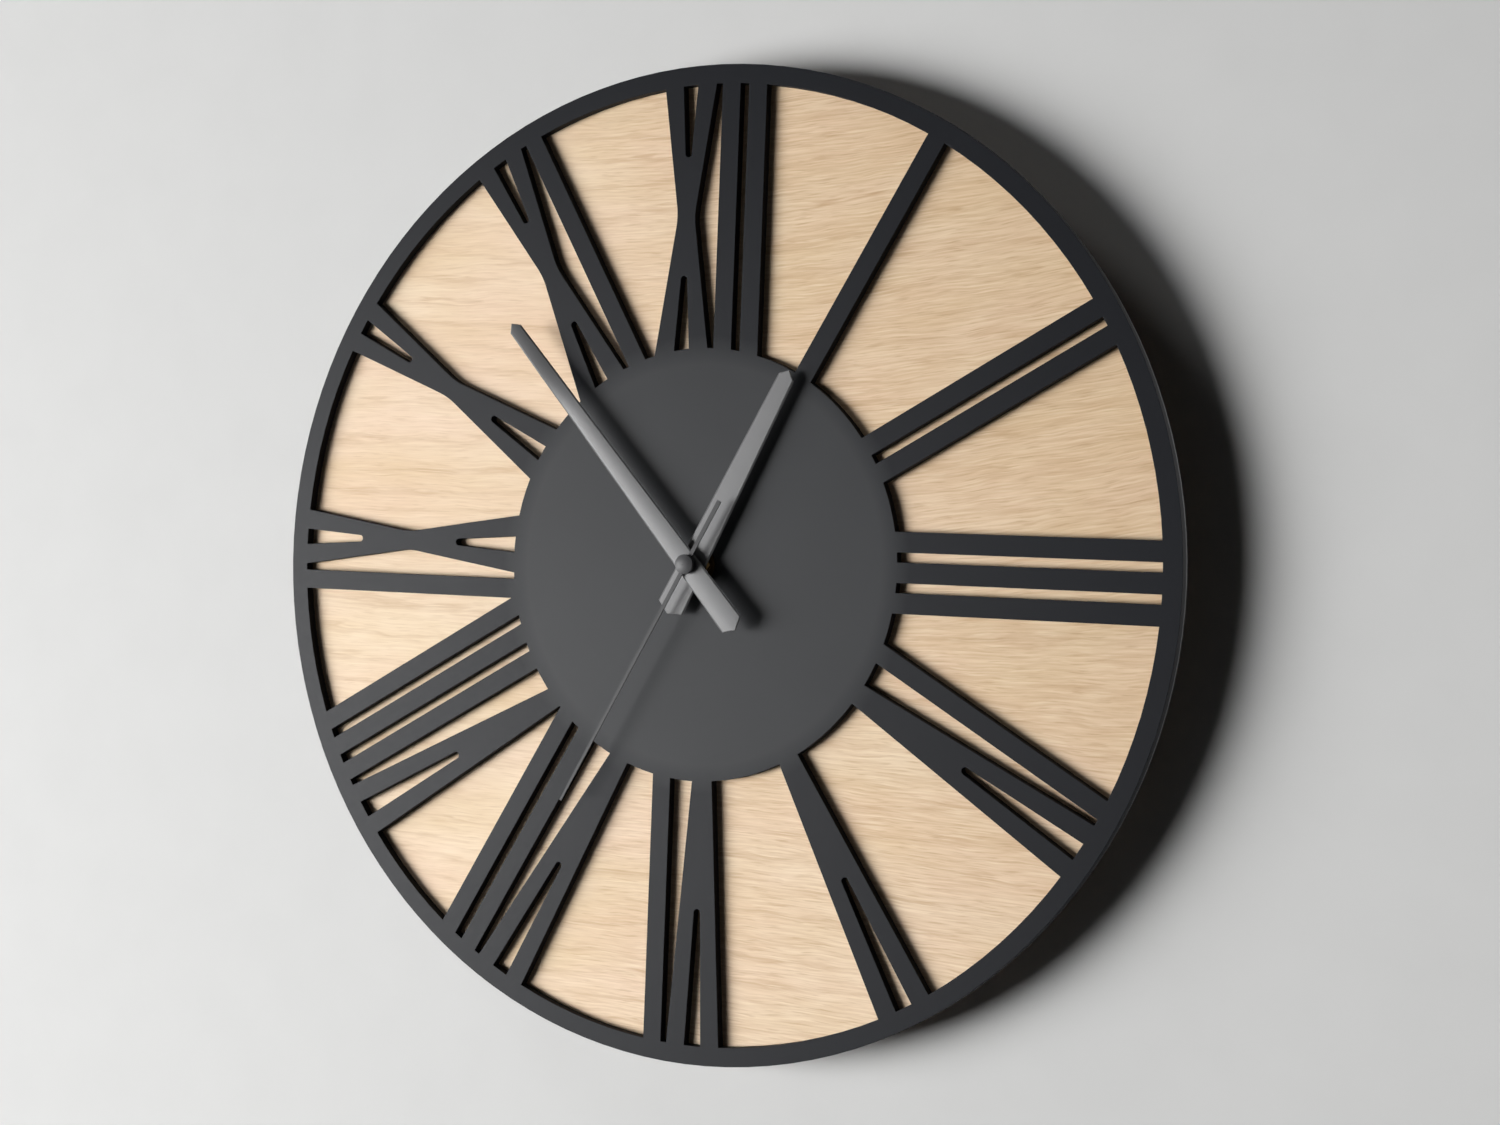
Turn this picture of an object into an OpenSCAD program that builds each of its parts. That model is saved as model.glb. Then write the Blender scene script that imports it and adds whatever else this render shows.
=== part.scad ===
// Round wall clock with a pierced black dial over an oak board, and its quartz movement.
// Everything is drawn as seen from the front: x to the right, y up, z away from the wall,
// and stand_up() turns that to the real position, with the wall in the XZ plane at y = 0.

/* [Dial] */
// Diameter of the black front plate
dial_d = 400; // [360:1:440]
// Thickness of the black front plate
plate_t = 4; // [3:0.5:5]
// Width of the outer ring
ring_w = 7.6; // [6:0.1:12]
// Diameter of the solid centre disc
disc_d = 173.4; // [150:0.1:190]
// Thickness of the oak board
board_t = 4; // [3:0.5:6]
// How far the edge of the board stays inside the plate's edge
board_inset = 0.8; // [0.4:0.1:3]

/* [Numerals] */
// Width of an I stroke
bar_w = 8; // [6.5:0.1:8.6]
// Distance between neighbouring I strokes
bar_pitch = 11.8; // [11:0.1:12.6]
// Distance from the axis of a V or an X to the next I stroke
letter_pitch = 18.4; // [17.6:0.1:19.4]
// Width over the top of a V
v_top_w = 23.7; // [22:0.1:25]
// Width of the foot of a V
v_foot_w = 9; // [8:0.1:10.5]
// Width of the slot of a V where it meets the ring
v_slot_w = 7.3; // [6:0.1:8]
// Length of the slot of a V
v_slot_l = 54.8; // [45:0.1:60]
// Width over each end of an X
x_end_w = 23.5; // [22:0.1:25]
// Width at which the straight sides of an X would meet its middle
x_cross_w = 7.5; // [6.5:0.1:9]
// Radius of the hollow in each side of an X
x_waist_r = 30; // [10:1:60]
// Width of each slot of an X where it meets the ring or the disc
x_slot_w = 6.6; // [5.5:0.1:7.4]
// Length of each slot of an X
x_slot_l = 29; // [22:0.1:33]
// Width of the round end of every slot
slot_tip_w = 2.8; // [2:0.1:3.6]

/* [Hands] */
// Thickness of the hour hand and the minute hand
hand_t = 0.6; // [0.4:0.1:1]
// Height of the tapered point at each end of a hand
hand_point = 2.8; // [1.5:0.1:4]
// Width of the bevel round the front of a hand
hand_bevel_w = 0.5; // [0.2:0.1:1]
// Depth of the bevel
hand_bevel_h = 0.3; // [0.1:0.05:0.35]
// Length of the hour hand from the centre
hour_l = 87; // [70:0.5:100]
// Length of the hour hand's tail
hour_tail = 22.5; // [15:0.5:35]
// Width of the hour hand near its tip
hour_tip_w = 7.4; // [5:0.1:9]
// Width of the hour hand near its tail end
hour_tail_w = 12.6; // [10.5:0.1:15]
// Length of the minute hand from the centre
minute_l = 129; // [110:0.5:150]
// Length of the minute hand's tail
minute_tail = 33.6; // [20:0.1:45]
// Width of the minute hand near its tip
minute_tip_w = 5.7; // [4:0.1:8]
// Width of the minute hand near its tail end
minute_tail_w = 10.6; // [9:0.1:13]
// Length of the second hand from the centre
second_l = 111.6; // [95:0.1:135]
// Length of the second hand's tail
second_tail = 29; // [20:0.5:45]
// Width of the second hand at its tip
second_tip_w = 1.1; // [0.8:0.1:1.6]
// Width of the second hand at its tail end
second_tail_w = 1.8; // [1.5:0.1:3]
// Thickness of the second hand
second_t = 0.5; // [0.2:0.1:0.6]
// Diameter of the second hand's hub
second_hub_d = 3.6; // [2.5:0.1:5]
// Diameter of the round cap over the hands
cap_d = 7.8; // [6:0.1:10]
// Height of the cap
cap_h = 2.4; // [1.5:0.1:4]
// Clear space between the dial face and the hour hand
hour_rise = 4.9; // [4.2:0.1:7]
// Clear space between one hand and the next
hand_gap = 3.4; // [2:0.1:5]
// Angle of the hour hand at rest, clockwise from twelve
hour_angle = 27.3; // [0:0.1:360]
// Angle of the minute hand at rest
minute_angle = 318.1; // [0:0.1:360]
// Angle of the second hand at rest
second_angle = 208.8; // [0:0.1:360]

/* [Shafts and fixing] */
// Outside diameter of the threaded centre bush
bush_d = 8; // [7.6:0.1:9]
// How far the bush stands proud of the dial face
bush_proud = 3.2; // [3:0.1:3.8]
// Diameter of the flange of the bush
bush_flange_d = 12; // [11:0.1:13]
// Thickness of the flange of the bush
bush_flange_t = 0.8; // [0.6:0.1:1.2]
// Outside diameter of the hour tube
hour_tube_d = 5; // [4.9:0.05:5.4]
// Outside diameter of the minute tube
minute_tube_d = 3.5; // [3.3:0.05:3.7]
// Diameter of the second shaft
second_shaft_d = 1; // [0.8:0.05:1.2]
// Radial running clearance between shafts, tubes and their holes
run_gap = 0.06; // [0.04:0.01:0.09]
// Diameter of the brass washer
washer_d = 15; // [13:0.1:18]
// Thickness of the brass washer
washer_t = 0.5; // [0.4:0.1:0.8]
// Width across the flats of the centre nut
nut_af = 11; // [10.5:0.1:13]
// Thickness of the centre nut
nut_t = 2.2; // [1.5:0.1:2.5]
// Diameter of the rubber gasket
gasket_d = 28; // [24:0.5:34]
// Thickness of the rubber gasket
gasket_t = 1; // [0.6:0.1:2]

/* [Hanger and spacers] */
// Thickness of the hanger's sheet steel
hanger_t = 1; // [0.8:0.1:1.5]
// Width of the hanger
hanger_w = 18; // [16:0.5:24]
// How far the upper part of the hanger is set back towards the wall
hanger_set = 5; // [4:0.1:7]
// Height of the hanger above the top of the case
hanger_rise = 22; // [21:0.5:26]
// Diameter of the keyhole
keyhole_d = 8; // [7:0.1:9]
// Width of the keyhole's slot
keyhole_slot_w = 3.6; // [3:0.1:4.4]
// Length of the keyhole's slot above the middle of its round part
keyhole_slot_l = 9; // [7:0.1:9.8]
// Diameter of the two foam wall spacers
spacer_d = 20; // [14:0.5:26]
// Distance of the spacers to the left and right of the centre
spacer_x = 95; // [60:1:110]
// Distance of the spacers below the centre
spacer_drop = 125; // [90:1:135]

/* [Movement case] */
// Space for a contact at each end of the cell, which sets the width of the case
contact_room = 1.25; // [1.1:0.05:3]
// Thickness of the side walls
case_wall = 1.5; // [1.2:0.1:1.8]
// Radius of the corners of the case
case_r = 3; // [2:0.1:4]
// Thickness of the front wall of the case
case_front_t = 1.5; // [1.2:0.1:2]
// Thickness of the rear cover
cover_t = 1.5; // [1.2:0.1:2]
// Thickness of the wall between the works and the battery bay
bay_wall = 1.2; // [0.8:0.1:1.4]
// Width of a snap hook of the cover
hook_w = 6; // [4:0.1:8]
// Thickness of a snap hook
hook_t = 1; // [0.8:0.1:1.4]
// Length of a snap hook
hook_l = 6; // [5:0.1:8]
// Loose fit between the cover's hooks and the case
loose_fit = 0.15; // [0.1:0.01:0.25]

/* [Battery] */
// Diameter of the cell
cell_d = 14.2; // [13.5:0.1:14.5]
// Length of the cell with its nub
cell_l = 50.5; // [49:0.1:50.8]
// Diameter of the nub
nub_d = 5.4; // [4:0.1:6]
// Length of the nub
nub_l = 1.2; // [0.8:0.1:1.5]
// Free space round the cell
cell_gap = 0.15; // [0.1:0.05:0.3]
// Thickness of the contacts' sheet metal
contact_t = 0.4; // [0.3:0.05:0.5]
// Width of the contacts
contact_w = 8; // [6:0.1:10]

/* [Train] */
// Thickness of every wheel
wheel_t = 0.8; // [0.6:0.05:0.9]
// Axial space between the levels of the train
level_gap = 0.9; // [0.8:0.05:1.1]
// Space between the cover and the second wheel
under_train = 2.8; // [2.6:0.1:3.2]
// Thickness of the train plate
train_plate_t = 0.8; // [0.6:0.05:1]
// Distance from the centre to the intermediate arbor
inter_a = 10.8; // [10.4:0.1:11.2]
// Distance from the intermediate arbor to the rotor
rotor_a = 7.8; // [7.4:0.1:8.2]
// Distance from the centre to the minute wheel's arbor
minute_a = 9.6; // [9.3:0.1:9.9]
// Diameter of the thin arbors
arbor_d = 0.8; // [0.6:0.05:1]
// Diameter of the pivots at the ends of the arbors
pivot_d = 0.6; // [0.5:0.05:0.6]
// Diameter of the magnet of the rotor
magnet_d = 5; // [4:0.1:5.4]
// Height of the magnet
magnet_h = 1.8; // [1:0.1:1.9]
// Diameter of the setting knob
knob_d = 10; // [8:0.1:10.6]
// Thickness of the setting knob
knob_t = 2; // [1.6:0.1:2.4]
// Diameter of the setting stem
stem_d = 2.4; // [2:0.1:2.6]

/* [Motor and circuit] */
// Thickness of the stator sheet
stator_t = 0.9; // [0.8:0.1:1]
// Width of the stator's arms and of the coil core
core_w = 3.2; // [2.8:0.1:3.4]
// Length of the coil between its flanges
coil_l = 15; // [12:0.5:16]
// Diameter of the winding
coil_d = 5.2; // [4.8:0.1:5.4]
// Width of the circuit board
pcb_w = 18; // [14:0.5:19]
// Height of the circuit board
pcb_h = 8; // [7:0.1:8.4]
// Thickness of the circuit board
pcb_t = 0.8; // [0.6:0.1:1]
// Diameter of the crystal's can
crystal_d = 2; // [1.5:0.1:2.4]
// Length of the crystal's can
crystal_l = 6; // [5:0.1:8]

/* [Hidden] */

// One overrun serves every cut
cut = 0.5;
// Air along the axis between parts that turn, and between fixed parts in the case
axial_gap = 0.15;
part_gap = 0.6;
// Facets of the dial's circles and of all others
dial_fn = 160;
round_fn = 48;

// Dial
dial_r = dial_d / 2;
ring_r = dial_r - ring_w;
disc_r = disc_d / 2;
mid_r = (ring_r + disc_r) / 2;
// How far a stroke runs into the disc and the ring that it joins
root_in_disc = 8;
root_in_ring = 1;
numerals = ["I", "II", "III", "IV", "V", "VI", "VII", "VIII", "IX", "X", "XI", "XII"];
hour_step = 360 / len(numerals);

// Levels of the train, measured from the wall
level_second = cover_t + under_train;
level_third = level_second + wheel_t + level_gap;
level_centre = level_third + wheel_t + level_gap;
level_plate = level_centre + wheel_t + level_gap / 2;
level_minute = level_plate + train_plate_t + level_gap / 2;
level_hour = level_minute + wheel_t + level_gap;
level_flange = level_hour + wheel_t + level_gap;
// The case is as deep as the deeper of the train and the cell
inner_front = max(level_flange + bush_flange_t, cell_d + 2 * cell_gap);
flange_back = inner_front - bush_flange_t;
case_front = inner_front + case_front_t;
case_w = cell_l + 2 * (contact_room + case_wall);
half_case = case_w / 2;
half_inner = half_case - case_wall;

// Dial stack, measured from the wall
hanger_front = case_front + hanger_t;
board_back = hanger_front + gasket_t;
plate_back = board_back + board_t;
face = plate_back + plate_t;
washer_front = face + washer_t;
bush_front = face + bush_proud;
hour_back = face + hour_rise;
minute_back = hour_back + hand_t + hand_gap;
// The second hand sits on the end of the minute tube with this much air
second_air = 0.25;
tube_proud = 0.2;
minute_front = minute_back + hand_t + tube_proud;
hub_t = 0.35;
second_back = minute_front + second_air + hub_t;
cap_back = second_back + second_t;

// Plan of the train: places are [x, y] seen from the front
function clockwise(r, a) = [r * sin(a), r * cos(a)];
inter_dir = 290;
third_dir = 70;
rotor_dir = 345;
minute_dir = 30;
knob_dir = 50;
inter_at = clockwise(inter_a, inter_dir);
rotor_at = inter_at + clockwise(rotor_a, rotor_dir);
minute_at = clockwise(minute_a, minute_dir);
knob_at = minute_at + clockwise(minute_a, knob_dir);

// Teeth of each wheel and of the pinion that drives it
second_teeth = 50;
inter_pinion_teeth = 10;
inter_teeth = 48;
rotor_teeth = 8;
second_pinion_teeth = 8;
third_teeth = 60;
third_pinion_teeth = 8;
centre_teeth = 64;
cannon_teeth = 12;
minute_teeth = 36;
minute_pinion_teeth = 10;
hour_teeth = 40;
// Tooth height over and under the pitch circle, as shares of the module
tooth_top_share = 0.75;
tooth_root_share = 1.15;
// Half widths of a tooth at its tip and root, as shares of half a tooth space
tip_w_share = 0.20;
root_w_share = 0.55;

function module_of(a, n1, n2) = 2 * a / (n1 + n2);
m_second = module_of(inter_a, second_teeth, inter_pinion_teeth);
m_rotor = module_of(rotor_a, inter_teeth, rotor_teeth);
second_wheel_r = m_second * (second_teeth / 2 + tooth_top_share);
// The third arbor stands just clear of the second wheel's rim
third_clear = 0.55;
third_a = second_wheel_r + arbor_d / 2 + third_clear;
third_at = clockwise(third_a, third_dir);
m_third = module_of(third_a, third_teeth, second_pinion_teeth);
m_centre = module_of(third_a, centre_teeth, third_pinion_teeth);
m_minute = module_of(minute_a, minute_teeth, cannon_teeth);
m_hour = module_of(minute_a, hour_teeth, minute_pinion_teeth);

// Turn at rest of gear b, which lies in direction dir from gear a, so that their teeth interlock
function mesh_turn(dir, n_a, turn_a, n_b) =
    dir + 180 - 360 / n_b * (0.5 - (dir - turn_a) * n_a / 360);
third_turn = mesh_turn(third_dir, second_pinion_teeth, 0, third_teeth);
centre_turn = mesh_turn(third_dir + 180, third_pinion_teeth, 0, centre_teeth);
inter_pinion_turn = mesh_turn(inter_dir, second_teeth, 0, inter_pinion_teeth);
rotor_turn = mesh_turn(rotor_dir, inter_teeth, 0, rotor_teeth);
minute_turn = mesh_turn(minute_dir, cannon_teeth, 0, minute_teeth);
hour_turn = mesh_turn(minute_dir + 180, minute_pinion_teeth, 0, hour_teeth);
knob_turn = mesh_turn(knob_dir, minute_teeth, minute_turn, cannon_teeth);

// Bearings: short bosses on the cover, and two longer ones inside the front wall
boss_h = 0.8;
boss_wall = 0.8;
front_boss_back = level_hour + wheel_t + 3 * axial_gap;
bearing_r = pivot_d / 2 + run_gap;
stem_bearing_r = stem_d / 2 + run_gap;
journal_d = 2.4;
journal_bearing_r = journal_d / 2 + run_gap;
hub_wall = 1.2;
cannon_t = 1.6;

// Battery bay: the cell lies along x under the works
bay_clear = 0.8;
bay_top = -second_wheel_r - bay_clear;
cell_y = bay_top - bay_wall - cell_gap - cell_d / 2;
cell_z = inner_front - cell_gap - cell_d / 2;
cell_left = -half_inner + contact_t;
cell_right = cell_left + cell_l;
bay_mouth_margin = 1;

// Setting knob's well in the cover: the knob's back is sunk, with air round it and in front of it
well_air = 0.5;
knob_sink = 0.3;
well_r = knob_d / 2 + well_air;
well_floor_back = knob_sink + knob_t + well_air / 2;
well_floor_t = 0.8;

// Motor: the stator stands off the cover, with the coil core on its front
stator_lift = 1.6;
stator_back = cover_t + stator_lift;
core_back = stator_back + stator_t;
core_t = 0.8;
core_mid = core_back + core_t / 2;
rotor_air = 0.7;
stator_hole_r = magnet_d / 2 + rotor_air;
stator_rim = 1.4;
// Place of the coil from the rotor's axis
coil_rise = 10.2;
coil_shift = 5.3;
coil_y = rotor_at[1] + coil_rise;
coil_x0 = rotor_at[0] - coil_shift;
flange_t = 0.8;
flange_w = 2 * (core_mid - cover_t - loose_fit);
bobbin_r = 2;
coil_x1 = coil_x0 + coil_l + 2 * flange_t;
core_x0 = coil_x0 - core_w;
core_x1 = coil_x1 + core_w;
magnet_back = stator_back + (stator_t - magnet_h) / 2;

// Circuit board, in the corner of the case clear of the snap hooks
pcb_back = level_third - level_gap / 2;
pcb_x0 = half_inner - loose_fit - hook_t - part_gap - pcb_w;
pcb_y0 = half_inner - part_gap - pcb_h;
standoff_r = 1;
standoff_inset = 1.6;
chip_r = 2.2;
chip_h = 1;
chip_inset = 5;
chip_x = pcb_x0 + chip_inset;
chip_top_share = 0.6;

// Columns of the case front that carry the train plate, flush with the plate's edges
column_r = 1.7;
column_inset = 2.5;
column_x = half_inner - column_inset - column_r;
column_low = bay_top + part_gap + column_r;
column_high = half_inner - part_gap - column_r;

// Snap hooks of the cover
hook_inset = 8;
hook_y = [bay_top + hook_inset, half_inner - hook_inset];
hook_bite = 0.9;
hook_window_h = 2;

module stand_up() {
    rotate([90, 0, 0])
        children();
}

// Puts a child at z with its own up direction kept
module at(place, z) {
    translate([place[0], place[1], z])
        children();
}

module tube(outer_r, inner_r, h, faces = round_fn) {
    difference() {
        cylinder(r = outer_r, h = h, $fn = faces);
        translate([0, 0, -cut])
            cylinder(r = inner_r, h = h + 2 * cut, $fn = faces);
    }
}

// Square block of width w with round corners
module rounded_block(w, r, h) {
    arm = w / 2 - r;
    translate([-w / 2, -arm, 0])
        cube([w, 2 * arm, h]);
    translate([-arm, -w / 2, 0])
        cube([2 * arm, w, h]);
    for (sx = [-1, 1], sy = [-1, 1])
        translate([sx * arm, sy * arm, 0])
            cylinder(r = r, h = h, $fn = round_fn);
}

// Corners of a toothed outline, clockwise from a tooth that points up
function gear_points(n, m) = [
    for (i = [0 : n - 1], corner = [[-1, 0], [-1, 1], [1, 1], [1, 0]])
        let (tip = corner[1] == 1,
            r = m * (n / 2 + (tip ? tooth_top_share : -tooth_root_share)),
            share = tip ? tip_w_share : root_w_share,
            a = 360 / n * i + corner[0] * share * 180 / n)
        clockwise(r, a)];

module gear(n, m, t, turn = 0) {
    rotate([0, 0, -turn])
        linear_extrude(height = t)
            polygon(gear_points(n, m));
}

// Plain cylinder between two distances from the wall
module rod(d, z0, z1) {
    translate([0, 0, z0])
        cylinder(d = d, h = z1 - z0, $fn = round_fn);
}

// Places of the letters of a numeral
function letter_w(c) = c == "I" ? bar_w : c == "V" ? v_top_w : x_end_w;
function step_between(a, b) = a == "I" && b == "I" ? bar_pitch : letter_pitch;
function letter_x(word, i) =
    i == 0 ? 0 : letter_x(word, i - 1) + step_between(word[i - 1], word[i]);
function word_mid(word) =
    (letter_x(word, len(word) - 1) + letter_w(word[len(word) - 1]) / 2 - letter_w(word[0]) / 2) / 2;

// Half width of a V at radius y, carried on past the ring and the disc
function v_half(y) =
    (v_foot_w + (v_top_w - v_foot_w) * (y - disc_r) / (ring_r - disc_r)) / 2;
// Half width of an X at radius y: an arc at the waist, tangent to straight sides
x_slope = (x_end_w - x_cross_w) / 2 / (ring_r - mid_r);
x_tilt = atan(x_slope);
x_arc_l = x_waist_r * sin(x_tilt);
x_arc_steps = 4;
function x_half(y) =
    let (out = abs(y - mid_r))
    x_cross_w / 2 + (out < x_arc_l
        ? x_waist_r / cos(x_tilt) - sqrt(pow(x_waist_r, 2) - pow(out, 2))
        : out * x_slope);

stroke_y0 = disc_r - root_in_disc;
stroke_y1 = ring_r + root_in_ring;

function mirrored(halves) = concat(
    [for (p = halves) [-p[0], p[1]]],
    [for (i = [len(halves) - 1 : -1 : 0]) halves[i]]);

module letter(c) {
    waist = c == "X" ? [for (i = [-x_arc_steps : x_arc_steps]) mid_r + x_arc_l * i / x_arc_steps] : [];
    ys = concat(stroke_y0, waist, stroke_y1);
    halves = [for (y = ys) [c == "I" ? bar_w / 2 : c == "V" ? v_half(y) : x_half(y), y]];
    translate([0, 0, -cut])
        linear_extrude(height = plate_t + 2 * cut)
            polygon(mirrored(halves));
}

// Slot whose mouth of width w is at radius y0 and whose round end is at y1
module slot(w, y0, y1) {
    side = sign(y1 - y0);
    tip_y = y1 - side * slot_tip_w / 2;
    mouth_y = y0 - side * root_in_disc;
    grow = (w - slot_tip_w) / 2 * (root_in_disc / abs(tip_y - y0));
    halves = [[w / 2 + grow, mouth_y], [slot_tip_w / 2, tip_y]];
    translate([0, 0, -2 * cut]) {
        linear_extrude(height = plate_t + 4 * cut)
            polygon(side < 0 ? mirrored(halves) : mirrored([halves[1], halves[0]]));
        translate([0, tip_y, 0])
            cylinder(d = slot_tip_w, h = plate_t + 4 * cut, $fn = round_fn);
    }
}

module letter_slots(c) {
    if (c == "V")
        slot(v_slot_w, ring_r, ring_r - v_slot_l);
    if (c == "X") {
        slot(x_slot_w, ring_r, ring_r - x_slot_l);
        slot(x_slot_w, disc_r, disc_r + x_slot_l);
    }
}

// Children are drawn once for every letter, with the letter's name in $letter
module each_letter() {
    for (h = [0 : len(numerals) - 1]) {
        word = numerals[h];
        for (i = [0 : len(word) - 1]) {
            $letter = word[i];
            rotate([0, 0, -hour_step * (h + 1)])
                translate([letter_x(word, i) - word_mid(word), 0, 0])
                    children();
        }
    }
}

module front_plate() {
    color([0.17, 0.17, 0.19])
        translate([0, 0, plate_back])
            difference() {
                // One slab trims the ring, the disc and the strokes to the plate's two faces
                intersection() {
                    cylinder(r = dial_r + cut, h = plate_t, $fn = dial_fn);
                    union() {
                        translate([0, 0, -2 * cut]) {
                            tube(dial_r, ring_r, plate_t + 4 * cut, dial_fn);
                            cylinder(r = disc_r, h = plate_t + 4 * cut, $fn = dial_fn);
                        }
                        // The ring and the disc close the mouths of the slots again
                        difference() {
                            each_letter()
                                letter($letter);
                            each_letter()
                                letter_slots($letter);
                        }
                    }
                }
                translate([0, 0, -cut])
                    cylinder(d = bush_d + 2 * loose_fit, h = plate_t + 2 * cut, $fn = round_fn);
            }
}

module oak_board() {
    color([0.82, 0.68, 0.50])
        translate([0, 0, board_back])
            tube(dial_r - board_inset, bush_d / 2 + loose_fit, board_t, dial_fn);
}

// Outline of a hand that points up, with a tapered point at each end
module hand_outline(l, tail, tip_w, tail_w) {
    polygon([[0, -tail], [tail_w / 2, -tail + hand_point], [tip_w / 2, l - hand_point],
        [0, l], [-tip_w / 2, l - hand_point], [-tail_w / 2, -tail + hand_point]]);
}

// Hand with a bevel round its front and a hole for its tube
module hand_blade(l, tail, tip_w, tail_w, hole_d) {
    difference() {
        hull() {
            linear_extrude(height = hand_t - hand_bevel_h)
                hand_outline(l, tail, tip_w, tail_w);
            linear_extrude(height = hand_t)
                offset(delta = -hand_bevel_w)
                    hand_outline(l, tail, tip_w, tail_w);
        }
        translate([0, 0, -cut])
            cylinder(d = hole_d, h = hand_t + 2 * cut, $fn = round_fn);
    }
}

module hour_hand() {
    color([0.42, 0.42, 0.43])
        translate([0, 0, hour_back])
            rotate([0, 0, -hour_angle])
                hand_blade(hour_l, hour_tail, hour_tip_w, hour_tail_w, hour_tube_d);
}

module minute_hand() {
    color([0.42, 0.42, 0.43])
        translate([0, 0, minute_back])
            rotate([0, 0, -minute_angle])
                hand_blade(minute_l, minute_tail, minute_tip_w, minute_tail_w, minute_tube_d);
}

// Thin blade on a hub that is pressed on the second shaft
module second_hand() {
    color([0.42, 0.42, 0.43])
        rotate([0, 0, -second_angle])
            difference() {
                union() {
                    translate([0, 0, second_back])
                        linear_extrude(height = second_t)
                            polygon([[second_tail_w / 2, -second_tail],
                                [second_tip_w / 2, second_l],
                                [-second_tip_w / 2, second_l],
                                [-second_tail_w / 2, -second_tail]]);
                    rod(second_hub_d, second_back - hub_t, cap_back);
                }
                rod(second_shaft_d, second_back - hub_t - cut, cap_back + cut);
            }
}

// Low cap: a straight rim under a shallow dome that takes up a share of its height
cap_dome_share = 0.35;

module hand_cap() {
    dome_h = cap_h * cap_dome_share;
    dome_r = (pow(cap_d / 2, 2) + pow(dome_h, 2)) / (2 * dome_h);
    color([0.22, 0.22, 0.23])
        translate([0, 0, cap_back])
            intersection() {
                cylinder(d = cap_d, h = cap_h + cut, $fn = dial_fn);
                translate([0, 0, cap_h - dome_r])
                    sphere(r = dome_r, $fn = dial_fn);
            }
}

module centre_nut() {
    color([0.72, 0.58, 0.32])
        translate([0, 0, washer_front])
            difference() {
                cylinder(d = nut_af / cos(30), h = nut_t, $fn = 6);
                translate([0, 0, -cut])
                    cylinder(d = bush_d + 2 * run_gap, h = nut_t + 2 * cut, $fn = round_fn);
            }
}

module brass_washer() {
    color([0.75, 0.60, 0.33])
        translate([0, 0, face])
            tube(washer_d / 2, bush_d / 2 + loose_fit, washer_t);
}

module rubber_gasket() {
    color([0.08, 0.08, 0.08])
        translate([0, 0, hanger_front])
            tube(gasket_d / 2, bush_d / 2 + loose_fit, gasket_t);
}

// Strip of sheet steel round the bush, set back above the case, with a keyhole for the nail
module hanger() {
    top = half_case + hanger_rise;
    foot = -gasket_d / 2;
    // The bend starts as far above the case as the sheet is thick
    bend_y = half_case + hanger_t;
    bend_end = bend_y + hanger_t;
    back = case_front - hanger_set;
    keyhole_y = top - keyhole_slot_l - keyhole_d / 2;
    color([0.70, 0.71, 0.72])
        difference() {
            rotate([90, 0, 90])
                translate([0, 0, -hanger_w / 2])
                    linear_extrude(height = hanger_w)
                        polygon([[foot, case_front], [bend_y, case_front], [bend_y, back],
                            [top, back], [top, back + hanger_t], [bend_end, back + hanger_t],
                            [bend_end, hanger_front], [foot, hanger_front]]);
            translate([0, 0, case_front - cut])
                cylinder(d = bush_d + 2 * loose_fit, h = hanger_t + 2 * cut, $fn = round_fn);
            translate([0, keyhole_y, back - cut]) {
                cylinder(d = keyhole_d, h = hanger_t + 2 * cut, $fn = round_fn);
                translate([-keyhole_slot_w / 2, 0, 0])
                    cube([keyhole_slot_w, keyhole_slot_l - keyhole_slot_w / 2, hanger_t + 2 * cut]);
                translate([0, keyhole_slot_l - keyhole_slot_w / 2, 0])
                    cylinder(d = keyhole_slot_w, h = hanger_t + 2 * cut, $fn = round_fn);
            }
        }
}

module wall_spacers() {
    color([0.13, 0.13, 0.14])
        for (side = [-1, 1])
            at([side * spacer_x, -spacer_drop], 0)
                cylinder(d = spacer_d, h = board_back, $fn = round_fn);
}

// Boss with a pivot hole, between two distances from the wall
module bearing(place, z0, z1, hole_r) {
    at(place, z0)
        tube(hole_r + boss_wall, hole_r, z1 - z0);
}

module case_front() {
    color([0.12, 0.12, 0.13])
        difference() {
            union() {
                difference() {
                    translate([0, 0, cover_t])
                        rounded_block(case_w, case_r, case_front - cover_t);
                    translate([0, 0, cover_t - cut])
                        rounded_block(2 * half_inner, case_r - case_wall,
                            inner_front - cover_t + cut);
                }
                translate([-half_inner, bay_top - bay_wall, cover_t])
                    cube([2 * half_inner, bay_wall, inner_front - cover_t]);
                for (x = [-column_x, column_x], y = [column_low, column_high])
                    at([x, y], level_plate + train_plate_t)
                        cylinder(r = column_r, h = inner_front - level_plate - train_plate_t,
                            $fn = round_fn);
                for (place = [minute_at, knob_at])
                    bearing(place, front_boss_back, inner_front + cut, bearing_r);
            }
            translate([0, 0, inner_front - cut])
                cylinder(d = bush_d, h = case_front_t + 2 * cut, $fn = round_fn);
            hook_windows();
        }
}

module hook_windows() {
    for (side = [-1, 1], y = hook_y)
        translate([side > 0 ? half_inner - cut : -half_case - cut, y - hook_w / 2 - loose_fit,
            cover_t + hook_l - hook_window_h - loose_fit])
            cube([case_wall + 2 * cut, hook_w + 2 * loose_fit, hook_window_h + 2 * loose_fit]);
}

// Hook with its barb at the free end, drawn for the right wall
module hook(y) {
    translate([half_inner - loose_fit - hook_t, y + hook_w / 2, cover_t])
        rotate([90, 0, 0])
            linear_extrude(height = hook_w)
                polygon([[0, 0], [hook_t, 0], [hook_t, hook_l - hook_window_h],
                    [hook_t + hook_bite, hook_l - hook_window_h], [hook_t, hook_l], [0, hook_l]]);
}

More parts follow.
